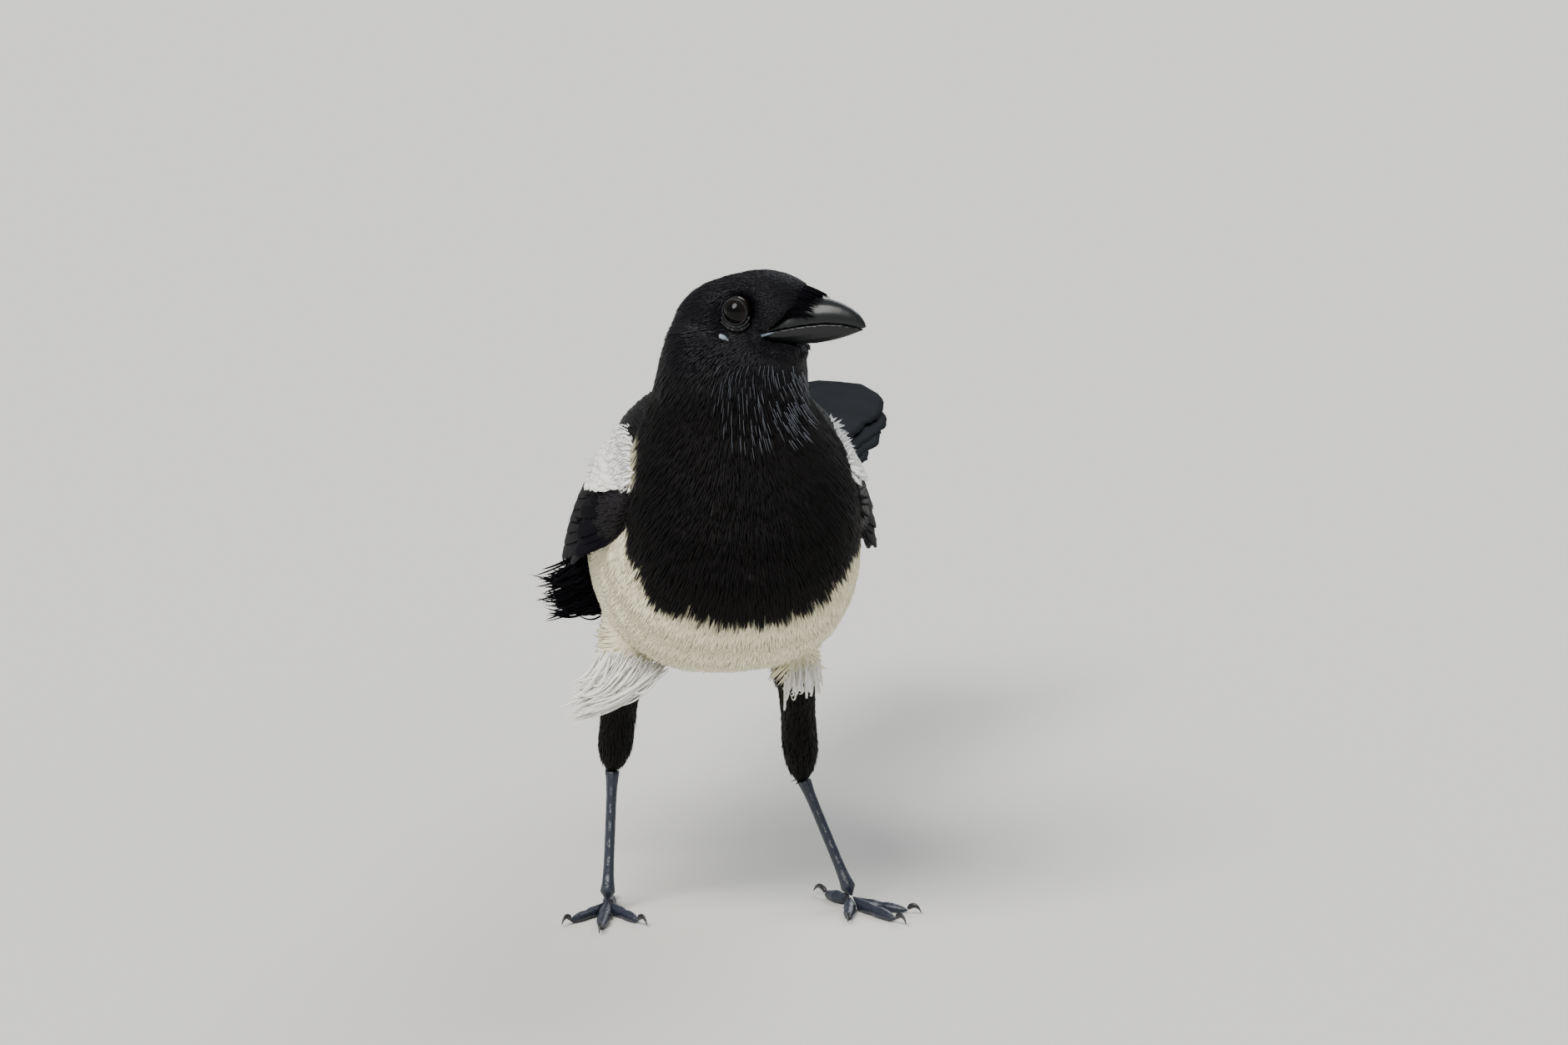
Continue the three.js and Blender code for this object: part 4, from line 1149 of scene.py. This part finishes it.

# %% [markdown]
# The wing's bend, the shoulder over it and the edge of the mantle above are cushions of small
# feathers. Each is a thin pad on the wing's sheet with a coat of its own: white on the shoulder, black
# on the mantle, and black with a faint brown-violet painted sheen at the bend.

# %% Cushions on the wing
# A brown-violet painted sheen on the black of the wing's bend, put into the coat's colour.
BEND_PAINTED_SHEEN = np.array([0.016, 0.012, 0.016])
CLEAN_WHITE = np.array([0.92, 0.915, 0.89])
BLACK_PADS = ("bend", "mantle")
PADS = {
    "bend": dict(
        reach=((-0.03, 0.2), (0.24, 1.0)), heights=(-0.4, -4.6), size=(5.0, 1.3),
        cover=6.5, lift=0.05, lie=(0.05, 0.01)),
    "shoulder_pad": dict(
        reach=((-0.01, 0.14), (0.34, 0.52)), heights=(1.2, -3.0), size=(6.0, 1.5),
        cover=9.0, lift=0.02, lie=(0.03, 0.12)),
    "mantle": dict(
        reach=((0.0, -0.12), (0.5, 0.22)), heights=(2.2, -3.0), size=(6.0, 1.1),
        cover=5.5, lift=0.04, lie=(0.05, 0.01)),
}
PAD_SCATTER, PAD_ROUND, RIM_POWER = 0.06, 0.72, 4
PAD_ALONG, PAD_ACROSS = 26, 26
# Where on the bend the painted sheen is strongest, and how far it reaches along and down.
SHEEN_ALONG, SHEEN_ALONG_REACH = 0.06, 0.07
SHEEN_DOWN, SHEEN_DOWN_REACH = 0.5, 0.22
TOP_PATCH, UNDER_PATCH_START = 0.48, 0.5


def pad_tint(name, u, v):
    """Colours over a cushion: clean white, black, or black with a painted sheen at the bend."""
    if name not in BLACK_PADS:
        return np.broadcast_to(CLEAN_WHITE, (*u.shape, 3))
    from_middle = ((u - SHEEN_ALONG) / SHEEN_ALONG_REACH) ** 2 + ((v - SHEEN_DOWN) / SHEEN_DOWN_REACH) ** 2
    return mix(BLACK, BEND_PAINTED_SHEEN, np.exp(-from_middle)[..., None] * (name == "bend"))


def pad_faces(shape):
    """Faces of a cushion's top, and the same turned over for its underside."""
    index = np.arange(shape[0] * shape[1]).reshape(shape)
    a, b, c, d = (g.ravel() for g in (index[:-1, :-1], index[1:, :-1], index[1:, 1:], index[:-1, 1:]))
    return np.vstack([np.stack([a, b, c, d], -1), np.stack([a, d, c, b], -1) + index.size])


def pad(side, name, reach, heights, size, cover, lift, lie):
    """A closed cushion on the wing's sheet, rounded at its rim, with the attributes of the coat."""
    s, t = np.meshgrid(np.linspace(0, 1, PAD_ALONG), np.linspace(-1, 1, PAD_ACROSS), indexing="ij")
    u = mix(reach[0][0], reach[1][0], s)
    narrowed = t * np.sqrt(1 - PAD_ROUND * (2 * s - 1) ** 2)
    v = mix(reach[0][1], reach[1][1], (narrowed + 1) / 2)
    out = wing_out(side, np.clip(u, SHEET_EDGE, 1 - SHEET_EDGE), v)
    rim = np.sqrt(np.maximum(0, 1 - np.abs(2 * s - 1) ** RIM_POWER))
    rim = rim * np.sqrt(np.maximum(0, 1 - np.abs(t) ** RIM_POWER))
    middle, thick = sum(heights) / 2, (heights[0] - heights[1]) / 2
    sheet = wing_point(side, u, v)
    top = sheet + out * (middle + thick * rim)[..., None]
    low = sheet + out * (middle - thick * rim)[..., None]
    points = np.vstack([top.reshape(-1, 3), low.reshape(-1, 3)])
    faces = pad_faces(s.shape)
    lie = wing_point(side, u + lie[0], v + lie[1]) - sheet
    lie = np.vstack([lie.reshape(-1, 3)] * 2)
    if side == "left":
        points, faces = mirrored(points, faces)
        lie = lie * [-1, 1, 1]
    mesh = bpy.data.meshes.new(f"{name}_skin_{side}")
    mesh.from_pydata(to_frame(points).tolist(), [], faces.tolist())
    store(mesh, "tint", "FLOAT_COLOR", with_alpha(np.vstack([pad_tint(name, u, v).reshape(-1, 3)] * 2)))
    store(mesh, "lie", "FLOAT_VECTOR", unit(lie).astype(np.float32))
    for key, value in (("long", size[0] * MM), ("wide", size[1] * MM)):
        store(mesh, key, "FLOAT", np.full(len(points), value, np.float32))
    store(mesh, "region", "INT", np.zeros(len(points), np.int32))
    shade_smooth(mesh)
    flat = np.stack([s, (t + 1) / 2], -1).reshape(-1, 2) * [1, TOP_PATCH]
    lay_map(mesh, "OFBake", np.vstack([flat, flat + [0, UNDER_PATCH_START]]))
    mesh.materials.append(SKIN_MATERIAL)
    made = merged(add_object(f"{name}_skin_{side}", mesh))
    slot_name = "black_plumage" if name in BLACK_PADS else "white_plumage"
    declare(made)
    grow(made.data, f"{name}_{side}", 0, cover, lift, PAD_SCATTER, slot_name)


for side in ("right", "left"):
    for name, settings in PADS.items():
        pad(side, name, **settings)
bpy.data.objects.remove(tuft)

# %% [markdown]
# Loose locks blow to the bird's right over the right thigh, hang over the left one and stand off
# the vent. Each lock is a narrow feather that bends away from the wind.

# %% Loose locks
LOCKS = {
    "right": dict(
        count=340, start=(-42, 1, 95), end=(-20, -1, 89), drift=((-9, 3, -15), (-30, 0, -15)),
        half=0.42, white=True),
    "left": dict(
        count=60, start=(32, 0, 88.5), end=(22, -6, 87), drift=((0, 2, -9), (-1, 1, -8)),
        half=0.42, white=True),
    "vent": dict(
        count=380, start=(-36, 66, 117), end=(-25, 84, 96), drift=((-14, 8, -11), (-16, 10, -7)),
        half=0.4, white=False),
}
LOCK_OUT, LOCK_SAG = np.array([-0.35, -1.0, 0.12]), np.array([0, -1.5, -3.0])
ROOT_STRAYS, DRIFT_STRAYS = 1.2, 1.6
REACH_VARIES, SAG_VARIES, HALF_VARIES = (0.45, 1.15), (0.2, 1.4), (0.6, 1.2)


def lock_path(root, drift, bow):
    out = unit(LOCK_OUT)

    def path(s):
        s = s[:, None]
        sag = LOCK_SAG * (4 * s * (1 - s)) * bow
        return root + drift * s + sag, np.broadcast_to(out, (len(s), 3))

    return path


def locks(count, start, end, drift, half):
    start, end = np.array(start, float), np.array(end, float)
    made = []
    for k in range(count):
        i = random.uniform()
        root = mix(start, end, i) + random.normal(0, ROOT_STRAYS, 3)
        way = mix(*np.array(drift, float), i) + random.normal(0, DRIFT_STRAYS, 3)
        path = lock_path(root, way * random.uniform(*REACH_VARIES), random.uniform(*SAG_VARIES))
        made.append(long_feather(
            path, half * random.uniform(*HALF_VARIES), roll=0.1, camber=0.1, tip_start=0.3, along=10,
            across=2, thick=0.16, frayed=0.1))
    return made


for name, settings in LOCKS.items():
    white_lock = settings.pop("white")
    points, faces, uv = gathered(locks(**settings))
    material = WHITE_VANE if white_lock else BLACK_VANE
    piece(f"locks_{name}", points, faces, material, uv)
    print("locks", name, len(faces), "faces")

# %% [markdown]
# Stiff bristles lie forward over the nostrils and the base of the bill, from the forehead down to
# the corner of the mouth.

# %% Bristles at the bill
BRISTLES = 400
BRISTLE_AROUND, BRISTLE_START, BRISTLE_REACH = (0.05, 1.25), (12, 19), (6, 10)
BRISTLE_STRAYS, BRISTLE_HALF, SIDES_REACH_LESS = 0.35, (0.09, 0.17), 0.15
FACE_HALF, BILL_HALF, FACE_AT, FACE_TO_BILL = 9.0, 5.6, 15, 14
ROOT_MIDDLE, ROOT_ROUND, END_MIDDLE, END_ROUND = -8, 13.0, -9.0, 9.6
BRISTLE_ARCH, BESIDE = 0.5, 1.03


def bristle_path(hand, around, start, reach, stray):
    def path(s):
        x = start + reach * s
        wide = mix(FACE_HALF, BILL_HALF, (x - FACE_AT) / FACE_TO_BILL)
        y = hand * wide * math.sin(around) * BESIDE
        root = ROOT_MIDDLE + ROOT_ROUND * math.cos(around)
        end = END_MIDDLE + END_ROUND * math.cos(around)
        z = mix(root, end, s) + BRISTLE_ARCH * np.sin(math.pi * s)
        local = np.stack([x, y, z + stray * s], -1)
        out = np.array([0.1, hand * math.sin(around), math.cos(around)])
        return from_head(local), np.broadcast_to(unit(out @ HEAD_AXES), (len(s), 3))

    return path


made = []
for k in range(BRISTLES):
    hand = 1 if k % 2 else -1
    around = random.uniform(*BRISTLE_AROUND)
    start = random.uniform(*BRISTLE_START)
    reach = random.uniform(*BRISTLE_REACH) * (1 - SIDES_REACH_LESS * around)
    path = bristle_path(hand, around, start, reach, random.normal(0, BRISTLE_STRAYS))
    made.append(long_feather(
        path, random.uniform(*BRISTLE_HALF), camber=0.1, tip_start=0.2, along=6, across=2, thick=0.14,
        frayed=0.0))
points, faces, uv = gathered(made)
piece("bill_bristles", points, faces, BLACK_VANE, uv)
print("bristles", len(faces), "faces")

# %% [markdown]
# Fine pale hairs lie over the throat and the upper breast. They start on the skin and follow its lie,
# a little above the tufts.

# %% Hairs on the throat
HAIRS, HAIR_LENGTH, HAIR_HALF, HAIR_LIFT, HAIR_LEAST_LIFT = 150, 5.5, 0.06, 1.8, 0.4
HAIRS_FROM_RIGHT, HAIRS_TO_RIGHT = (-6, 6), (22, 32)
HAIRS_FROM_UP, HAIRS_TO_UP = (154, 166), (180, 188)
TOWARDS_CAMERA = 0.35

seen_right, seen_up = in_view(place)
hair_place = smooth(*HAIRS_FROM_RIGHT, seen_right) * (1 - smooth(*HAIRS_TO_RIGHT, seen_right))
hair_place = hair_place * (place[:, 1] < 0)
hair_place = hair_place * smooth(*HAIRS_FROM_UP, seen_up) * (1 - smooth(*HAIRS_TO_UP, seen_up))
hair_place = hair_place * (normal @ -VIEW_BACK < -TOWARDS_CAMERA)


def skin_path(index, length, lift):
    """A short path over the skin from one of its points, rising slowly along the lie."""

    def path(s):
        over = lift * mix(HAIR_LEAST_LIFT, 1, s[:, None])
        points = place[index] + lie[index] * length * s[:, None] + normal[index] * over
        return points, np.broadcast_to(normal[index], (len(s), 3))

    return path


chosen = random.choice(len(place), HAIRS, False, hair_place / hair_place.sum())
made = []
for index in chosen:
    length = HAIR_LENGTH * random.uniform(0.6, 1.1)
    path = skin_path(index, length, HAIR_LIFT * random.uniform(0.8, 1.2))
    made.append(long_feather(
        path, HAIR_HALF, camber=0.1, tip_start=0.2, along=6, across=2, thick=0.12, frayed=0.0))
points, faces, uv = gathered(made)
piece("throat_hairs", points, faces, HAIR_MATERIAL, uv)
print("hairs", len(faces), "faces")

# %% [markdown]
# Bill, shanks, toes and claws keep the shape of their solids, with the facets smoothed away. Each
# kind has the size of its facets, in metres, and its rounds of smoothing.

# %% Horn and scales
HORN = {
    "upper_bill": (0.00055, 6, BILL_MATERIAL, "bill"),
    "lower_bill": (0.00055, 6, BILL_MATERIAL, "bill"),
    "shank": (0.00045, 3, LEG_MATERIAL, "leg_skin"),
    "toe": (0.00045, 3, LEG_MATERIAL, "leg_skin"),
    "claw": (0.00028, 2, CLAW_MATERIAL, "claw"),
}


def refined(node, voxel, rounds, material, slot_name):
    """A finer, rounder copy of a solid that stands for it."""
    made = remeshed(merged(joined_copy([node], node + "_fine")), voxel)
    smoothed(made, rounds)
    made.data.materials.clear()
    made.data.materials.append(material)
    shade_smooth(made.data)
    return declare(made, [node])


for kind, settings in HORN.items():
    nodes = [node for node in sorted(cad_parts) if node.startswith(kind)]
    facets = sum(len(refined(node, *settings).data.polygons) for node in nodes)
    print(kind, len(nodes), "pieces,", facets, "facets")

# %% [markdown]
# The eye is a ball of 10 mm with a wet surface, a dark brown iris and a wide pupil. A thin ring of
# skin lies round it, with two folds of the lower lid below.

# %% Eyes and lids
IRIS_BROWN, PUPIL_BLACK = np.array([0.005, 0.0032, 0.0022]), np.array([0.001, 0.001, 0.001])
PUPIL_SHARE, PUPIL_SOFT, IRIS_SHARE, EYE_SHINE = 0.62, 0.03, 0.92, 0.15
EYE_BULGE, BULGE_REACH, EYE_FIT = 0.05, 0.5, 0.995
FULL_TURN, POLE_WELD = 2 * math.pi, 1e-7
LID_STEPS, LID_SECTION, LID_FLATNESS = 120, 10, 0.8
LID_END_LEAST, LID_END_POWER, PALE_CRINKLES = 0.02, 3, (0.3, 1.2)

EYE_MATERIAL = tinted("eye_wet", 0.03, specular=EYE_SHINE)
LID_MATERIAL = tinted("lid_skin", 0.5, specular=0.3)
LID_DARK, LID_PALE = np.array([0.005, 0.005, 0.006]), np.array([0.2, 0.21, 0.23])


def ball_angles(rings, around):
    """Angles from pole to pole, and round the axis between them."""
    from_pole = np.linspace(0, math.pi, rings + 1)[:, None]
    return from_pole, np.linspace(0, FULL_TURN, around, endpoint=False)[None, :]


def grid_faces(rings, around, turned):
    """Faces between rings of points that close on themselves."""
    index = np.arange(rings * around).reshape(rings, around)
    after = np.roll(index, -1, axis=1)
    faces = np.stack([index[:-1], after[:-1], after[1:], index[1:]], -1).reshape(-1, 4)
    return faces[:, ::-1] if turned else faces


def end_caps(rings, section, turned):
    """The two faces that close a tube at its ends."""
    last = (rings - 1) * section
    caps = [list(range(section)), list(range(last + section - 1, last - 1, -1))]
    return [cap[::-1] for cap in caps] if turned else caps


def eyeball(hand):
    """The eyeball, its poles on the axis of sight, with iris and pupil painted on it."""
    rings, around = 48, 64
    a, b = ball_angles(rings, around)
    bulge = 1 + EYE_BULGE * np.exp(-((a / BULGE_REACH) ** 2))
    local = np.stack(np.broadcast_arrays(
        np.sin(a) * np.cos(b), hand * np.cos(a) * bulge, np.sin(a) * np.sin(b)), -1)
    points = from_head(local.reshape(-1, 3) * EYE_RADIUS * EYE_FIT + [0, hand * EYE_OUT, 0])
    off_axis = np.broadcast_to(np.sin(a) / IRIS_SHARE, (rings + 1, around)).ravel()
    iris = smooth(PUPIL_SHARE - PUPIL_SOFT, PUPIL_SHARE + PUPIL_SOFT, off_axis)[:, None]
    return points, grid_faces(rings + 1, around, hand > 0), mix(PUPIL_BLACK, IRIS_BROWN, iris)


def tinted_piece(name, points, faces, tint, material, slot_name, replaces=()):
    made = piece(name, points, faces, material, replaces=replaces)
    store(made.data, "tint", "FLOAT_COLOR", with_alpha(tint))
    return merged(made, POLE_WELD)


def lid(hand, radius, tube, out, arc, crinkle, pale, seed):
    """A ring or fold of lid skin: a crinkled tube round the eye over an arc of angles."""
    span = arc[1] - arc[0]
    closed = span == FULL_TURN
    b = np.linspace(arc[0], arc[1], LID_STEPS, endpoint=not closed)
    noise = np.random.default_rng(seed)
    bumps = sum(np.sin(k * b + noise.uniform(0, 6)) / k**0.5 for k in range(9, 40, 5)) * crinkle
    from_middle = np.abs(2 * (b - arc[0]) / span - 1)
    ends = 1.0 if closed else np.sqrt(np.maximum(LID_END_LEAST, 1 - from_middle**LID_END_POWER))
    girth = tube * ends * (1 + bumps)
    middle = np.stack([radius * np.cos(b), np.full_like(b, out), radius * np.sin(b)], -1)
    outward = np.stack([np.cos(b), 0 * b, np.sin(b)], -1)
    c = np.linspace(0, FULL_TURN, LID_SECTION, endpoint=False)
    rings = (middle[:, None] + outward[:, None] * (girth[:, None] * np.cos(c))[..., None]
             + np.array([0, 1, 0]) * (girth[:, None] * np.sin(c) * LID_FLATNESS)[..., None])
    rings[..., 1] *= hand
    if closed:
        rings = np.concatenate([rings, rings[:1]])
        bumps = np.append(bumps, bumps[0])
    faces = grid_faces(len(rings), LID_SECTION, hand > 0).tolist()
    if not closed:
        faces += end_caps(len(rings), LID_SECTION, hand > 0)
    shade = smooth(*PALE_CRINKLES, bumps / crinkle) * pale
    tint = np.repeat(mix(LID_DARK, LID_PALE, shade[:, None]), LID_SECTION, axis=0)
    return from_head(rings.reshape(-1, 3)), faces, tint


LIDS = {
    "ring": dict(radius=4.25, tube=0.38, out=15.0, arc=(0, FULL_TURN), crinkle=0.05, pale=0.12, seed=1),
    "fold": dict(radius=5.3, tube=0.5, out=14.6, arc=(-2.9, -0.35), crinkle=0.12, pale=0.5, seed=2),
    "bag": dict(radius=6.3, tube=0.5, out=14.2, arc=(-2.7, -0.8), crinkle=0.14, pale=0.7, seed=3),
}
for side, hand in (("left", 1), ("right", -1)):
    tinted_piece(f"eyeball_{side}", *eyeball(hand), EYE_MATERIAL, "eye", [f"eye_{side}"])
    for name, sizes in LIDS.items():
        tinted_piece(f"lid_{name}_{side}", *lid(hand, **sizes), LID_MATERIAL, "black_plumage")
print("eyes and", 2 * len(LIDS), "lid pieces")

# %% [markdown]
# Behind and below each eye is a small pale bare spot, and a pale ridge of skin runs forward from the
# corner of the mouth.

# %% Bare spot and corner of the mouth
SPOT_AHEAD, SPOT_UP, SPOT_SIZE, SPOT_SLOPE = -5.3, -8.3, (1.8, 0.6, 0.9), -0.5
RIDGE = [(2.6, -10.2), (4.5, -9.9), (7, -9.5), (9.5, -9.1), (12, -8.7)]
RIDGE_GIRTH, RIDGE_OUT, RIDGE_SECTION, RIDGE_DARK = (0.1, 0.5, 0.55, 0.42, 0.1), 1.3, 8, 0.5
SPOT_BLUE, SPOT_PROUD, SPOT_BUMPS = np.array([0.26, 0.31, 0.38]), 0.5, (0.16, 0.08)
SPOT_SHADES, SPOT_SHADE_REACH, POINTS_NEAR = (0.45, 1.1), 1.5, 6


def skin_out(hand, ahead, up):
    """How far out the skin lies at a place on the side of the head."""
    near = np.hypot(local[:, 0] - ahead, local[:, 2] - up) + 100 * (local[:, 1] * hand < 0)
    return np.abs(local[near.argsort()[:POINTS_NEAR], 1]).mean()


def bare_spot(hand):
    rings, around = 12, 24
    a, b = ball_angles(rings, around)
    bumps = 1 + SPOT_BUMPS[0] * np.sin(3 * b + 2 * a) * np.sin(a) + SPOT_BUMPS[1] * np.sin(7 * b) * np.sin(a)
    ball = np.stack(np.broadcast_arrays(
        np.sin(a) * np.cos(b), hand * np.cos(a), np.sin(a) * np.sin(b)), -1)
    out = skin_out(hand, SPOT_AHEAD, SPOT_UP)
    middle = np.array([SPOT_AHEAD, hand * (out + SPOT_PROUD), SPOT_UP])
    spot = (ball * bumps[..., None]).reshape(-1, 3) * SPOT_SIZE
    spot[:, 2] += SPOT_SLOPE * spot[:, 0]
    faces = grid_faces(rings + 1, around, hand > 0)
    tint = SPOT_BLUE * mix(*SPOT_SHADES, smooth(SPOT_SHADE_REACH, -SPOT_SHADE_REACH, spot[:, :1]))
    return from_head(spot + middle), faces, tint


def mouth_ridge(hand):
    c = np.linspace(0, FULL_TURN, RIDGE_SECTION, endpoint=False)
    rings = []
    for (ahead, up), girth in zip(RIDGE, RIDGE_GIRTH):
        out = skin_out(hand, ahead, up) + RIDGE_OUT
        sideways = hand * (out + girth * np.sin(c))
        rings.append(np.stack([np.full(RIDGE_SECTION, ahead), sideways, up + girth * np.cos(c)], -1))
    points = from_head(np.array(rings).reshape(-1, 3))
    faces = grid_faces(len(rings), RIDGE_SECTION, hand < 0).tolist()
    faces += end_caps(len(rings), RIDGE_SECTION, hand > 0)
    return points, faces, np.broadcast_to(SPOT_BLUE * RIDGE_DARK, (len(points), 3))


for side, hand in (("left", 1), ("right", -1)):
    tinted_piece(f"bare_spot_{side}", *bare_spot(hand), LID_MATERIAL, "black_plumage")
    tinted_piece(f"mouth_ridge_{side}", *mouth_ridge(hand), LID_MATERIAL, "bill")
print("bare spots and ridges", 2 * 2, "pieces")

# %% [markdown]
# A pale floor that runs far past the picture, a pale sky, and two soft lights from far away, so that
# the floor is evenly lit. The strong one comes from the upper left on the camera's side, and the
# weak one from behind the bird.

# %% Floor and light
FLOOR_SIZE, PAPER, SKY, SKY_STRENGTH = 30.0, (0.62, 0.61, 0.58), (0.93, 0.96, 1, 1), 0.52

half = FLOOR_SIZE / 2
corners = [(-half, -half, 0), (half, -half, 0), (half, half, 0), (-half, half, 0)]
floor_mesh = bpy.data.meshes.new("floor")
floor_mesh.from_pydata(corners, [], [(0, 1, 2, 3)])
floor_mesh.materials.append(plain("floor_paper", PAPER, 0.9))
floor = add_object("floor", floor_mesh)
floor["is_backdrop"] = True

world = bpy.data.worlds.new("studio")
bpy.context.scene.world = world
world.use_nodes = True
world.node_tree.nodes["Background"].inputs["Color"].default_value = SKY
world.node_tree.nodes["Background"].inputs["Strength"].default_value = SKY_STRENGTH


def far_light(name, towards, softness, strength, color):
    """A light from far away: even over the floor, with a soft edge to its shadow."""
    light = add_object(name, bpy.data.lights.new(name, "SUN"))
    light.data.angle, light.data.energy, light.data.color = softness, strength, color
    light.rotation_mode = "QUATERNION"
    light.rotation_quaternion = Vector(towards).to_track_quat("-Z", "Y")


far_light("key", (0.7, 0.8, -1.3), softness=0.6, strength=4.4, color=(1, 0.98, 0.95))
far_light("back", (-0.7, -1.0, -1.0), softness=0.6, strength=1.6, color=(0.92, 0.96, 1))

low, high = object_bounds()
sizes = {"cad": [list(cad_low), list(cad_high)], "visual": [list(low), list(high)]}
print("shown", [round(x, 4) for x in high - low])
